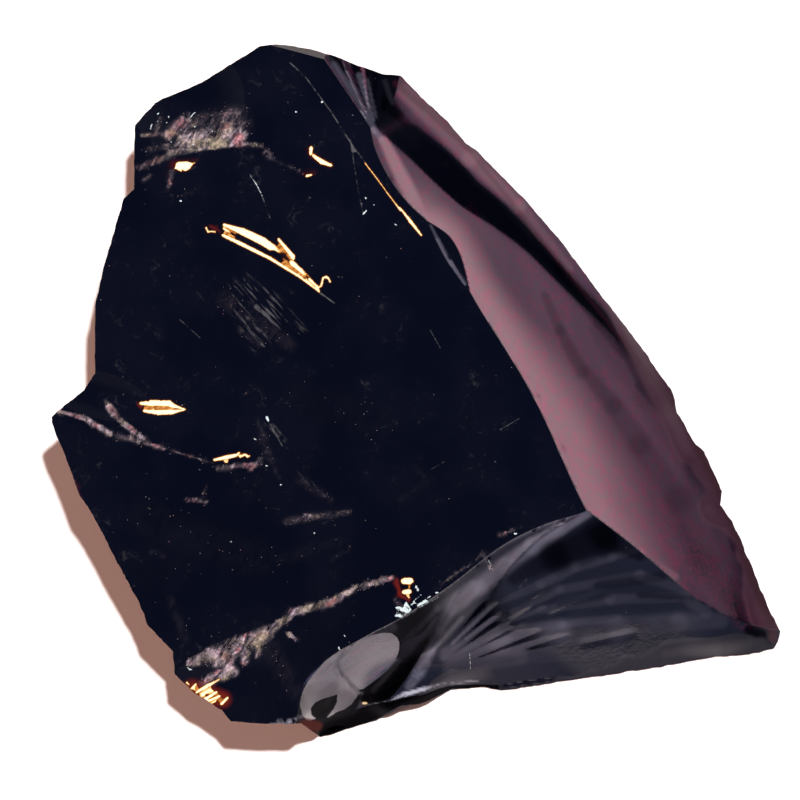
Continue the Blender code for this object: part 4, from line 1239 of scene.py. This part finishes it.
def painted_rosy_band(x, y):
    """The brighter painted reflection below the right bevel's upper edge, and along its lip."""
    along, out = BEVEL_LINE.measure(x, y)
    reach = INNER_REACH[0] + (INNER_REACH[1] - INNER_REACH[0]) * ease(along, *INNER_GROWS)
    band = 1 - ease((out - bevel_edge(along)) / reach, *INNER_FADE)
    return np.maximum(band * ease(along, *INNER_FROM), soft_cover(PAINTED_LIP_LIGHT, x, y))


def tones(mesh, plan, height, on_top, marks):
    """How each point takes the light, as numbers: its painted reflection and shade, how far its
    mirror is painted, and how rough it is.
    """
    x, y = plan.T
    steep = steepness(upper_surface, x, y)
    plain = upper_surface(x, y)[0]
    brought_down = ease(plain - thin_edge(x, y, plain), *BROUGHT_DOWN)
    brought_down = ease(carried_over(mesh, brought_down), *EDGE_FADE) * on_top
    near_rim = (height < EDGE_BELOW[0]) & (on_top > 0)
    inside = np.full(len(x), EDGE_DARK[1])
    inside[near_rim] = distance_inside(plan[near_rim], RIM)
    edge = 1 - ease(inside, *EDGE_DARK)
    mirrors_floor = ease(steep, *MIRRORS_FLOOR)
    low_down = 1 - ease(plain, *LOW_DOWN)
    frost_and_sheen = frosted_sheen(x, y)
    # The brighter, rosy painted reflection near the right bevel's upper edge.
    inner = painted_rosy_band(x, y) * (1 - brought_down)
    # Where the bevels mirror only in their painted colour: painted shade, and painted tones in place
    # of the floor's reflection.
    painted_mirror_front = [mirrors_floor * (1 - FLOOR_SEEN * frost_and_sheen), marks["shadow"], edge,
                  FRONT_RIM_PAINTED_MIRROR * brought_down]
    painted_mirror_right = [(RIGHT_PAINTED_MIRROR + RIGHT_DIM * marks["dim"]) * (1 - inner),
                  soft_cover(TOP_SHADE, x, y), EDGE_PAINTED_MIRROR * edge, RIGHT_RIM_PAINTED_MIRROR * brought_down]
    unfrosted = (1 - marks["shadow"]) * (1 - EDGE_UNFROSTED * brought_down)
    return {
        "painted_sheen": np.maximum(mirrors_floor, np.maximum(low_down, brought_down)),
        "frost_and_sheen": frost_and_sheen * unfrosted,
        "inner": inner,
        "painted_mirror_front": np.max(painted_mirror_front, axis=0),
        "painted_mirror_right": np.max(painted_mirror_right, axis=0),
        "cliff": np.maximum(ease(steep, *CLIFF_STEEP), EDGE_ROUGH * brought_down),
        "brought_down": brought_down,
    }


def set_number(mesh, name, values):
    attribute = mesh.attributes.new(name, "FLOAT", "POINT")
    attribute.data.foreach_set("value", np.asarray(values, np.float32))


def build_glass():
    """The stone's mesh, with a number at every point for each of its marks and tones."""
    mesh, plan, height, on_top = joined_surfaces()
    x, y = plan.T
    sides = sides_by_face(x, y)
    for name, over in sides.items():
        set_number(mesh, name, np.clip(over, -SIDE_KEPT, SIDE_KEPT) * on_top - (1 - on_top))
    for name, depth in crisp_marks(x, y).items():
        set_number(mesh, name, depth * on_top - DEPTH_KEPT * (1 - on_top))
    marks = soft_marks(x, y)
    for name, cover in (marks | tones(mesh, plan, height, on_top, marks)).items():
        set_number(mesh, name, cover * on_top)
    dusted = np.clip(marks["dust"], 0, 1) ** DUST_GATHERED + LONE_GRAINS * (sides["worked"] < 0)
    set_number(mesh, "thickness", dusted * on_top)
    return mesh


# ------------------------------------------------------------------ colours


def tone(red, green, blue):
    return (red, green, blue, 1.0)


BLACK, BLUE_BLACK = tone(0.0012, 0.0018, 0.0058), tone(0.0022, 0.0029, 0.0078)
SPECK = tone(0.009, 0.010, 0.013)
SMEAR = tone(0.024, 0.025, 0.031)
SCUFF_LINE = tone(0.055, 0.055, 0.062)
# Painted reflection of the pale floor on the right bevel: mottled, cooler, dimmer and rosy tones.
PAINTED_SHEEN_TONES = [(0.38, tone(0.034, 0.018, 0.042)), (0.49, tone(0.041, 0.013, 0.038)),
         (0.57, tone(0.070, 0.007, 0.037))]
PAINTED_COOL_SHEEN = tone(0.026, 0.008, 0.030)
PAINTED_DIM_SHEEN = tone(0.009, 0.003, 0.014)
PAINTED_ROSY_SHEEN = [(0.38, tone(0.160, 0.092, 0.118)), (0.49, tone(0.185, 0.082, 0.112)),
              (0.57, tone(0.235, 0.068, 0.110))]
# Painted reflection of the dim room on the front bevel, and painted shade on the thin rims and in
# the front's streaks.
PAINTED_FRONT_SHEEN = tone(0.009, 0.011, 0.022)
FRONT_RIM_SHADE = tone(0.011, 0.011, 0.024)
FRONT_SHADOW = tone(0.0045, 0.006, 0.014)
RIGHT_RIM_SHADE = tone(0.058, 0.015, 0.038)
CRIMSON = tone(0.125, 0.010, 0.040)
# Frosting tinted as painted reflection of the pale floor.
FROST_SHEEN_GREY, FROST_SHEEN_MAUVE = tone(0.118, 0.116, 0.156), tone(0.132, 0.112, 0.146)
NOTHING = tone(0.0, 0.0, 0.0)
# Painted highlight along the front rim.
PAINTED_GLEAM_WHITE = tone(0.48, 0.48, 0.58)
# Painted glow of light through the thin rims.
PAINTED_RIM_GLOW = tone(0.042, 0.008, 0.018)
# Painted reflection on the pale flake scars, painted shade on the dark ones.
PAINTED_SCAR_SHEEN = [(0.35, tone(0.018, 0.022, 0.048)), (0.52, tone(0.038, 0.038, 0.072)),
             (0.68, tone(0.085, 0.034, 0.070))]
PAINTED_SCAR_SHADE = tone(0.010, 0.010, 0.022)
PAINTED_HOLLOW_SHADE, PAINTED_LIFTED_SHADE = tone(0.003, 0.003, 0.009), tone(0.040, 0.038, 0.066)
# Painted glow of light through thin glass.
PAINTED_GLOW_RED = tone(0.130, 0.010, 0.005)
DUST_VEIL = tone(0.085, 0.072, 0.090)
DUST_HUES = [(0.38, tone(0.175, 0.150, 0.112)), (0.47, tone(0.240, 0.195, 0.195)),
             (0.56, tone(0.260, 0.215, 0.255)), (0.64, tone(0.260, 0.120, 0.135))]
DUST_LIGHT = [(0.38, tone(0.20, 0.20, 0.22)), (0.5, tone(0.85, 0.84, 0.86)),
              (0.62, tone(2.2, 2.1, 2.1))]
DUST_PINK = tone(0.19, 0.055, 0.060)
GRIT = tone(0.11, 0.12, 0.13)
FLECK = tone(0.55, 0.52, 0.54)
SCRATCH_GREY = tone(0.090, 0.092, 0.100)
# The painted golden glints and the dark ring round them.
PAINTED_GLINT_RING = tone(0.028, 0.006, 0.003)
PAINTED_GLINT_TONES = [(0.0, tone(0.09, 0.018, 0.003)), (0.35, tone(0.42, 0.16, 0.03)),
         (0.6, tone(0.66, 0.46, 0.18)), (1.0, tone(0.90, 0.82, 0.55))]
# White chips, some of them painted sparkle highlights.
CHIP_AND_SPARKLE_WHITE = tone(0.50, 0.60, 0.62)
GRAIN_HUES = [(0.38, tone(0.16, 0.14, 0.11)), (0.5, tone(0.24, 0.21, 0.22)),
              (0.62, tone(0.24, 0.14, 0.15))]
BOARD_LIGHT, BOARD_DARK = tone(0.88, 0.82, 0.80), tone(0.86, 0.80, 0.78)

# ------------------------------------------------------------------ materials


class Shader:
    """Short calls that add nodes to one material."""

    def __init__(self, name):
        self.material = bpy.data.materials.new(name)
        self.material.use_nodes = True
        self.tree = self.material.node_tree
        self.surface = self.tree.nodes["Principled BSDF"].inputs
        self.place = self.tree.nodes.new("ShaderNodeTexCoord").outputs["Object"]

    def put(self, value, socket):
        if isinstance(value, bpy.types.NodeSocket):
            self.tree.links.new(value, socket)
        else:
            socket.default_value = value

    def math(self, operation, a, b=0.0, clamp=False):
        node = self.tree.nodes.new("ShaderNodeMath")
        node.operation = operation
        node.use_clamp = clamp
        self.put(a, node.inputs[0])
        self.put(b, node.inputs[1])
        return node.outputs[0]

    def times(self, first, *others):
        for other in others:
            first = self.math("MULTIPLY", first, other)
        return first

    def plus(self, first, *others):
        for other in others:
            first = self.math("ADD", first, other)
        return first

    def greatest(self, first, *others):
        for other in others:
            first = self.math("MAXIMUM", first, other)
        return first

    def rest(self, share):
        """What the share leaves of 1."""
        return self.math("SUBTRACT", 1.0, share)

    def clamped(self, value):
        return self.math("ADD", value, 0.0, clamp=True)

    def number(self, name):
        node = self.tree.nodes.new("ShaderNodeAttribute")
        node.attribute_name = name
        return node.outputs["Fac"]

    def noise(self, size, detail=2.0, roughness=0.5, stretch=None, distortion=0.0):
        """Noise whose lumps are about this many millimetres across. A stretch is a turn in
        degrees and how much longer the lumps are along each turned axis."""
        node = self.tree.nodes.new("ShaderNodeTexNoise")
        node.inputs["Scale"].default_value = 1 / (size * MM)
        node.inputs["Detail"].default_value = detail
        node.inputs["Roughness"].default_value = roughness
        node.inputs["Distortion"].default_value = distortion
        place = self.place
        if stretch:
            turn, scale = stretch
            mapping = self.tree.nodes.new("ShaderNodeMapping")
            mapping.vector_type = "TEXTURE"
            mapping.inputs["Rotation"].default_value = (0, 0, np.radians(turn))
            mapping.inputs["Scale"].default_value = scale
            self.put(self.place, mapping.inputs["Vector"])
            place = mapping.outputs[0]
        self.put(place, node.inputs["Vector"])
        return node.outputs[0]

    def either_way(self, noise, width):
        """The noise spread over this width, half of it below 0."""
        return self.times(self.math("SUBTRACT", noise, 0.5), width)

    def dots(self, size, radius, share):
        """Small round dots, one in each chosen cell of this many millimetres."""
        node = self.tree.nodes.new("ShaderNodeTexVoronoi")
        node.inputs["Scale"].default_value = 1 / (size * MM)
        self.put(self.place, node.inputs["Vector"])
        near = self.between(node.outputs["Distance"], radius, radius * 0.4)
        split = self.tree.nodes.new("ShaderNodeSeparateColor")
        self.put(node.outputs["Color"], split.inputs[0])
        chosen = self.math("LESS_THAN", split.outputs[0], share)
        return self.times(near, split.outputs[1], chosen)

    def between(self, value, low, high):
        """0 at low, 1 at high and smooth between them."""
        node = self.tree.nodes.new("ShaderNodeMapRange")
        node.interpolation_type = "SMOOTHSTEP"
        self.put(value, node.inputs["Value"])
        node.inputs["From Min"].default_value = low
        node.inputs["From Max"].default_value = high
        return node.outputs[0]

    def blend(self, share, a, b, way="MIX"):
        """Colour a where the share is 0 and colour b, laid on in this way, where it is 1."""
        node = self.tree.nodes.new("ShaderNodeMix")
        node.data_type = "RGBA"
        node.blend_type = way
        colours = [s for s in node.inputs if s.type == "RGBA"]
        self.put(share, node.inputs[0])
        self.put(a, colours[0])
        self.put(b, colours[1])
        return [s for s in node.outputs if s.type == "RGBA"][0]

    def ramp(self, value, stops):
        node = self.tree.nodes.new("ShaderNodeValToRGB")
        elements = node.color_ramp.elements
        while len(elements) < len(stops):
            elements.new(0.5)
        for element, (place, colour) in zip(elements, stops):
            element.position = place
            element.color = colour
        self.put(value, node.inputs[0])
        return node.outputs[0]

    def bump(self, height, depth):
        node = self.tree.nodes.new("ShaderNodeBump")
        node.inputs["Distance"].default_value = depth * MM
        self.put(height, node.inputs["Height"])
        return node.outputs[0]


class Glass(Shader):
    """The obsidian: black and mirror smooth on the broad face, with painted reflection and painted
    shade on the bevels.
    It is built up in coats, each laid over the colour so far."""

    def __init__(self):
        super().__init__("obsidian_glass")
        self.front, self.right, self.worked = (
            self.between(self.number(face), -0.02, 0.05) for face in ("front", "right", "worked")
        )
        # Where the right bevel has painted reflection of the floor.
        self.painted_sheen = self.times(self.number("painted_sheen"), self.right)
        self.brought_down = self.number("brought_down")
        self.wisps = self.noise(9.0, 3.0)
        self.fine = self.noise(0.45, 3.0, 0.6)
        self.blotches = self.noise(1.3, 4.0, 0.6, distortion=0.5)

    def black_body(self):
        """Nearly black, with faint wisps, specks, smears and scuffs of fine lines."""
        body = self.blend(self.between(self.wisps, 0.35, 0.7), BLACK, BLUE_BLACK)
        specks = self.between(self.noise(0.35, 4.0, 0.7), 0.60, 0.80)
        body = self.blend(self.times(specks, 0.45), body, SPECK)
        smears = self.noise(2.4, 6.0, 0.72, distortion=1.3)
        smears = self.times(self.between(smears, 0.56, 0.76), self.between(self.fine, 0.35, 0.65),
                            self.between(self.wisps, 0.46, 0.60))
        body = self.blend(smears, body, SMEAR)
        lines = self.noise(0.34, 2.0, 0.5, stretch=(-47.0, (9.0, 1.0, 1.0)))
        lines = self.times(self.between(lines, 0.52, 0.66), self.between(self.blotches, 0.36, 0.6),
                           self.between(self.number("scuff"), 0.1, 1.0))
        return self.blend(lines, body, SCUFF_LINE)

    def painted_sheen_coat(self, colour):
        """The right bevel's painted reflection of the floor: mottled purple-grey, rosy near its
        upper edge.
        """
        mottle = self.plus(self.times(self.blotches, 0.45),
                           self.times(self.noise(0.7, 4.0, 0.7), 0.55))
        cool = self.noise(5.0, 2.0, 0.5, stretch=(-60.0, (2.5, 1.0, 1.0)))
        cool = self.times(self.between(cool, 0.42, 0.62), 0.5)
        sheen = self.blend(cool, self.ramp(mottle, PAINTED_SHEEN_TONES), PAINTED_COOL_SHEEN)
        # Painted shade: dimmer streaks down the right bevel.
        dim = self.math("MULTIPLY", self.number("dim"), 0.9, clamp=True)
        sheen = self.blend(dim, sheen, PAINTED_DIM_SHEEN)
        sheen = self.blend(self.number("inner"), sheen, self.ramp(mottle, PAINTED_ROSY_SHEEN))
        return self.blend(self.painted_sheen, colour, sheen)

    def bevel_coat(self, colour):
        """The front bevel's blue-black painted reflection, painted shade on both bevels' rims and in
        the front's dark streaks, and the crimson blush.
        """
        colour = self.blend(self.front, colour, PAINTED_FRONT_SHEEN)
        colour = self.blend(self.times(self.brought_down, self.front), colour, FRONT_RIM_SHADE)
        colour = self.blend(self.times(self.brought_down, self.painted_sheen), colour, RIGHT_RIM_SHADE)
        colour = self.blend(self.times(self.number("shadow"), self.front), colour, FRONT_SHADOW)
        blush = self.times(self.number("blush"), self.between(self.fine, 0.40, 0.62), self.worked)
        return self.blend(self.times(blush, 0.4), colour, CRIMSON)

    def frost_and_sheen_coat(self, colour):
        """Pale bands and ribs, partly frosting and partly painted reflection, the painted highlights
        along the front rim, and the painted red glow of the thin rims.
        """
        tint = self.blend(self.between(self.blotches, 0.5, 0.66), FROST_SHEEN_GREY, FROST_SHEEN_MAUVE)
        frost_and_sheen = self.times(self.number("frost_and_sheen"), self.front)
        # Painted reflection on the fan's ribs.
        ribs = self.times(self.number("ribs"), self.worked, 0.85)
        pale = self.blend(self.math("ADD", frost_and_sheen, ribs, clamp=True), NOTHING, tint)
        colour = self.blend(1.0, colour, pale, "ADD")
        self.painted_gleam = self.times(self.number("painted_gleam"), self.between(self.blotches, 0.30, 0.55))
        colour = self.blend(self.painted_gleam, colour, PAINTED_GLEAM_WHITE)
        rim_glow = self.times(self.number("rim_glow"), self.between(self.blotches, 0.15, 0.45), 0.8)
        return self.blend(rim_glow, colour, PAINTED_RIM_GLOW)

    def scar_coat(self, colour):
        """Painted reflection on the pale flake scars, painted shade on the dark ones, and the
        painted deep red glow.
        """
        fray = self.either_way(self.noise(0.5, 3.0, 0.6), 0.18)
        brushed = self.noise(0.7, 4.0, 0.6, stretch=(38.0, (5.0, 1.0, 1.0)))
        self.pale_scar = self.between(self.plus(self.number("pale_scar"), fray), -0.07, 0.09)
        self.in_shade = self.number("scar_shade")
        tint = self.blend(self.times(self.in_shade, 0.8), self.ramp(brushed, PAINTED_SCAR_SHEEN),
                          PAINTED_SCAR_SHADE)
        colour = self.blend(self.pale_scar, colour, tint)
        self.dark_scar = self.between(self.plus(self.number("dark_scar"), fray), -0.08, 0.12)
        self.shade_lift = self.number("scar_shade_lift")
        hollow = self.blend(self.shade_lift, PAINTED_HOLLOW_SHADE, PAINTED_LIFTED_SHADE)
        colour = self.blend(self.dark_scar, colour, hollow)
        self.glow = self.between(self.number("glow"), 0.0, 1.0)
        return self.blend(self.glow, colour, PAINTED_GLOW_RED)

    def dust_coat(self, colour):
        """Streaky dust over a thin veil, with pink stains, grit and pale flecks."""
        dust = self.number("dust")
        streaks = self.noise(0.8, 6.0, 0.66, stretch=(62.0, (2.6, 1.0, 1.0)), distortion=0.5)
        scatter = self.either_way(self.noise(1.7, 6.0, 0.70, distortion=0.8), 2.6)
        veil = self.times(self.between(dust, 0.02, 1.0), self.between(streaks, 0.32, 0.62), 0.8)
        colour = self.blend(veil, colour, DUST_VEIL)
        held = self.plus(dust, self.times(scatter, self.between(dust, 0.0, 0.4)))
        self.cover = self.times(self.between(held, 0.25, 1.05), self.between(streaks, 0.34, 0.56))
        light = self.plus(self.times(self.fine, 0.4), self.times(streaks, 0.6))
        crumbs = self.blend(1.0, self.ramp(light, DUST_LIGHT),
                            self.ramp(self.noise(2.6), DUST_HUES), "MULTIPLY")
        stain = self.times(self.between(self.number("pink"), 0.1, 1.0), 0.7)
        colour = self.blend(self.cover, colour, self.blend(stain, crumbs, DUST_PINK))
        colour = self.blend(self.times(self.dots(1.3, 0.11, 0.14), 0.45), colour, GRIT)
        flecks = self.times(self.dots(0.6, 0.17, 0.35), self.between(dust, 0.25, 0.8))
        return self.blend(flecks, colour, FLECK)

    def mark_coat(self, colour):
        """Grey scratches, painted golden glints with a dark ring, and white chips with some painted
        sparkles.
        """
        frays = self.either_way(self.noise(0.25), 0.10)
        lines = self.between(self.plus(self.number("scratch"), frays), -0.05, 0.06)
        lines = self.times(lines, self.between(self.noise(0.8), 0.38, 0.62), 0.75)
        colour = self.blend(lines, colour, SCRATCH_GREY)
        ragged = self.either_way(self.noise(0.30, stretch=(40.0, (2.6, 1.0, 1.0))), 0.13)
        inside = self.plus(self.number("painted_glint"), ragged)
        colour = self.blend(self.times(self.between(inside, -0.22, -0.02), 0.6), colour,
                            PAINTED_GLINT_RING)
        glint = self.between(inside, -0.06, 0.01)
        shine = self.ramp(self.between(inside, -0.08, 0.13), PAINTED_GLINT_TONES)
        colour = self.blend(glint, colour, shine)
        chips = self.either_way(self.noise(0.2, 2.0, 0.6), 0.26)
        spark = self.between(self.plus(self.number("white"), chips), -0.01, 0.07)
        self.bright = self.greatest(glint, spark)
        return self.blend(spark, colour, CHIP_AND_SPARKLE_WHITE)

    def roughness(self):
        faces = self.greatest(self.front, self.right)
        cliff = self.times(self.number("cliff"), self.rest(self.pale_scar), faces)
        pit = self.times(self.dark_scar, self.rest(self.in_shade))
        rough = self.greatest(cliff, pit, self.times(self.in_shade, self.pale_scar, 0.3),
                              self.times(self.glow, 0.8))
        return self.clamped(self.plus(
            self.times(self.painted_sheen, 0.18), self.times(self.worked, 0.05),
            self.times(self.cover, 0.6), self.times(rough, 0.85), self.times(self.bright, 0.4),
            0.05,
        ))

    def depth(self):
        """How far a place mirrors only in its painted colour, not as glass, so that the painted
        shade and painted reflection take the place of its own mirror of the floor.
        """
        deep = self.plus(self.times(self.number("painted_mirror_front"), self.front),
                         self.times(self.number("painted_mirror_right"), self.right))
        in_scar = self.plus(self.times(self.in_shade, 0.8), 0.14)
        deep = self.plus(self.times(deep, self.rest(self.pale_scar)),
                         self.times(self.pale_scar, in_scar))
        hollow = self.times(self.dark_scar, self.rest(self.times(self.shade_lift, 0.6)))
        lit = self.greatest(self.bright, self.times(self.glow, 0.3), self.cover, self.painted_gleam)
        return self.clamped(self.times(self.greatest(deep, hollow), self.rest(lit)))

    def skin(self):
        """The fine unevenness of the worked faces and of the dust."""
        grain = self.times(self.noise(0.5, 3.0, 0.6), self.worked, 0.1)
        return self.bump(self.plus(grain, self.times(self.cover, self.fine)), 0.10)


def obsidian_glass():
    glass = Glass()
    colour = glass.black_body()
    for coat in (glass.painted_sheen_coat, glass.bevel_coat, glass.frost_and_sheen_coat, glass.scar_coat,
                 glass.dust_coat, glass.mark_coat):
        colour = coat(colour)
    glass.put(colour, glass.surface["Base Color"])
    glass.put(glass.roughness(), glass.surface["Roughness"])
    glass.put(glass.depth(), glass.surface["Metallic"])
    glass.put(glass.skin(), glass.surface["Normal"])
    glass.surface["IOR"].default_value = 1.5
    return glass.material


def pale_grit():
    """Dust grains: pale, matt, some of them rosy."""
    grit = Shader("pale_grit")
    grit.put(grit.ramp(grit.noise(0.9), GRAIN_HUES), grit.surface["Base Color"])
    grit.surface["Roughness"].default_value = 0.85
    return grit.material


def pale_board():
    """The plain floor: matt white board."""
    board = Shader("pale_board")
    colour = board.blend(board.noise(2.5, 4.0), BOARD_DARK, BOARD_LIGHT)
    board.put(colour, board.surface["Base Color"])
    board.surface["Roughness"].default_value = 0.9
    board.surface["Specular IOR Level"].default_value = 0.0
    return board.material


# ------------------------------------------------------------------ dust grains

GRAINS = {
    "Grains per square metre": 1.1e7,
    "Least radius": 0.022 * MM,
    "Greatest radius": 0.065 * MM,
    "Seed": 5,
}


def grain_tree(material):
    """Geometry Nodes that strew grains over a surface, by its own thickness of dust."""
    tree = bpy.data.node_groups.new("strewn_grains", "GeometryNodeTree")
    kinds = {float: "NodeSocketFloat", int: "NodeSocketInt"}
    tree.interface.new_socket("Surface", in_out="INPUT", socket_type="NodeSocketGeometry")
    for name, value in GRAINS.items():
        tree.interface.new_socket(name, in_out="INPUT", socket_type=kinds[type(value)])
    tree.interface.new_socket("Grains", in_out="OUTPUT", socket_type="NodeSocketGeometry")
    nodes = tree.nodes
    links = tree.links
    given = nodes.new("NodeGroupInput").outputs
    thickness = nodes.new("GeometryNodeInputNamedAttribute")
    thickness.data_type = "FLOAT"
    thickness.inputs["Name"].default_value = "thickness"
    density = nodes.new("ShaderNodeMath")
    density.operation = "MULTIPLY"
    links.new(given["Grains per square metre"], density.inputs[0])
    links.new(thickness.outputs["Attribute"], density.inputs[1])
    strew = nodes.new("GeometryNodeDistributePointsOnFaces")
    links.new(given["Surface"], strew.inputs["Mesh"])
    links.new(density.outputs[0], strew.inputs["Density"])
    links.new(given["Seed"], strew.inputs["Seed"])
    ball = nodes.new("GeometryNodeMeshIcoSphere")
    ball.inputs["Radius"].default_value = 1.0
    ball.inputs["Subdivisions"].default_value = 1
    radius = nodes.new("FunctionNodeRandomValue")
    radius.data_type = "FLOAT"
    low, high = [s for s in radius.inputs if s.type == "VALUE" and s.enabled][:2]
    links.new(given["Least radius"], low)
    links.new(given["Greatest radius"], high)
    links.new(given["Seed"], radius.inputs["Seed"])
    place = nodes.new("GeometryNodeInstanceOnPoints")
    links.new(strew.outputs["Points"], place.inputs["Points"])
    links.new(ball.outputs["Mesh"], place.inputs["Instance"])
    links.new([s for s in radius.outputs if s.type == "VALUE" and s.enabled][0],
              place.inputs["Scale"])
    links.new(strew.outputs["Rotation"], place.inputs["Rotation"])
    real = nodes.new("GeometryNodeRealizeInstances")
    links.new(place.outputs["Instances"], real.inputs["Geometry"])
    dressed = nodes.new("GeometryNodeSetMaterial")
    dressed.inputs["Material"].default_value = material
    links.new(real.outputs["Geometry"], dressed.inputs["Geometry"])
    links.new(dressed.outputs["Geometry"], nodes.new("NodeGroupOutput").inputs["Grains"])
    return tree


def strewn_dust(glass_mesh):
    """The dust grains as one plain mesh."""
    carrier = bpy.data.objects.new("dust_carrier", glass_mesh.copy())
    bpy.context.scene.collection.objects.link(carrier)
    material = pale_grit()
    modifier = carrier.modifiers.new("grains", "NODES")
    modifier.node_group = grain_tree(material)
    for item in modifier.node_group.interface.items_tree:
        if item.name in GRAINS:
            modifier[item.identifier] = GRAINS[item.name]
    evaluated = carrier.evaluated_get(bpy.context.evaluated_depsgraph_get())
    mesh = bpy.data.meshes.new_from_object(evaluated)
    mesh.name = "dust_grains"
    carrier.modifiers.remove(modifier)
    bpy.data.objects.remove(carrier)
    mesh.materials.clear()
    mesh.materials.append(material)
    return mesh


# ------------------------------------------------------------------ the stage

BOARD_LOW = (-0.18, -0.18)
BOARD_HIGH = (0.26, 0.26)
KEY_TOWARDS = (0.042, 0.188, 1.0)
KEY_DISTANCE = 1.5
KEY_SIZE = 0.045
KEY_POWER = 33.0
KEY_COLOUR = (1.0, 1.0, 1.0)
FILL_AT = (-1.2, -0.3, 0.9)
FILL_SIZE = 0.8
FILL_POWER = 12.0
FILL_COLOUR = (1.0, 0.52, 0.36)
CAMERA_HEIGHT = 2.0
CAMERA_OVER = (-0.00217, -0.00093)
CAMERA_LENS = 750.0
CAMERA_NEAR = 0.05
CAMERA_FAR = 10.0

# The studio round the glass, by the height of the direction looked in: 0 is level, 1 overhead.
ROOM = [
    (-1.0, (0.0, 0.0, 0.0)), (-0.02, (0.01, 0.01, 0.015)), (0.0, (0.16, 0.16, 0.22)),
    (0.10, (0.08, 0.08, 0.12)), (0.16, (0.012, 0.012, 0.02)), (0.45, (0.02, 0.02, 0.03)),
    (0.55, (0.10, 0.10, 0.13)), (0.80, (0.10, 0.10, 0.13)), (0.92, (0.02, 0.02, 0.035)),
    (1.0, (0.012, 0.014, 0.03)),
]
BACKDROP = 1.3  # how bright the ground round the board is to the camera


def add_floor():
    (low_x, low_y), (high_x, high_y) = BOARD_LOW, BOARD_HIGH
    corners = [(low_x, low_y, 0), (high_x, low_y, 0), (high_x, high_y, 0), (low_x, high_y, 0)]
    mesh = bpy.data.meshes.new("board")
    mesh.from_pydata(corners, [], [(0, 1, 2, 3)])
    mesh.materials.append(pale_board())
    board = bpy.data.objects.new("board", mesh)
    bpy.context.scene.collection.objects.link(board)


def add_lamp(name, place, size, power, colour):
    """A round lamp that faces the object and isn't mirrored in the glass."""
    data = bpy.data.lights.new(name, "AREA")
    data.shape = "DISK"
    data.size = size
    data.energy = power
    data.color = colour
    lamp = bpy.data.objects.new(name, data)
    lamp.location = place
    lamp.rotation_euler = Vector(place).to_track_quat("Z", "Y").to_euler()
    lamp.visible_glossy = False
    bpy.context.scene.collection.objects.link(lamp)


def add_room():
    """A dim room with a soft ring overhead, on a white ground."""
    world = bpy.data.worlds.new("studio")
    bpy.context.scene.world = world
    world.use_nodes = True
    tree = world.node_tree
    nodes = tree.nodes
    links = tree.links
    towards = nodes.new("ShaderNodeTexCoord").outputs["Generated"]
    split = nodes.new("ShaderNodeSeparateXYZ")
    links.new(towards, split.inputs[0])
    height = nodes.new("ShaderNodeMapRange")
    height.inputs["From Min"].default_value = -1.0
    links.new(split.outputs[2], height.inputs[0])
    ramp = nodes.new("ShaderNodeValToRGB")
    elements = ramp.color_ramp.elements
    while len(elements) < len(ROOM):
        elements.new(0.5)
    for element, (level, colour) in zip(elements, ROOM):
        element.position = (level + 1) / 2
        element.color = (*colour, 1.0)
    links.new(height.outputs[0], ramp.inputs[0])

    ray = nodes.new("ShaderNodeLightPath").outputs["Is Camera Ray"]
    seen = nodes.new("ShaderNodeMix")
    seen.data_type = "RGBA"
    colours = [s for s in seen.inputs if s.type == "RGBA"]
    links.new(ray, seen.inputs[0])
    links.new(ramp.outputs[0], colours[0])
    colours[1].default_value = (BACKDROP, BACKDROP, BACKDROP, 1.0)
    ground = nodes["Background"]
    links.new([s for s in seen.outputs if s.type == "RGBA"][0], ground.inputs["Color"])


def add_camera():
    data = bpy.data.cameras.new("camera")
    data.lens = CAMERA_LENS
    data.clip_start = CAMERA_NEAR
    data.clip_end = CAMERA_FAR
    camera = bpy.data.objects.new("camera", data)
    camera.location = (*CAMERA_OVER, CAMERA_HEIGHT)
    bpy.context.scene.collection.objects.link(camera)
    bpy.context.scene.camera = camera


# ------------------------------------------------------------------ the scene

SHARP_OVER = 24.0  # degrees between two triangles over which their edge stays sharp


def main():
    glass_mesh = build_glass()
    glass_mesh.materials.append(obsidian_glass())
    for polygon in glass_mesh.polygons:
        polygon.use_smooth = True
    glass_mesh.set_sharp_from_angle(angle=np.radians(SHARP_OVER))
    glass = bpy.data.objects.new("broken_glass", glass_mesh)
    bpy.context.scene.collection.objects.link(glass)
    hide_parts("obsidian_chunk")
    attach(glass, "root")
    dust = bpy.data.objects.new("dust_grains", strewn_dust(glass_mesh))
    bpy.context.scene.collection.objects.link(dust)
    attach(dust, "root")
    add_floor()
    key_place = Vector(KEY_TOWARDS).normalized() * KEY_DISTANCE
    add_lamp("key_lamp", key_place, KEY_SIZE, KEY_POWER, KEY_COLOUR)
    add_lamp("fill_lamp", FILL_AT, FILL_SIZE, FILL_POWER, FILL_COLOUR)
    add_room()
    add_camera()
    bpy.context.scene.view_settings.view_transform = "Standard"


main()
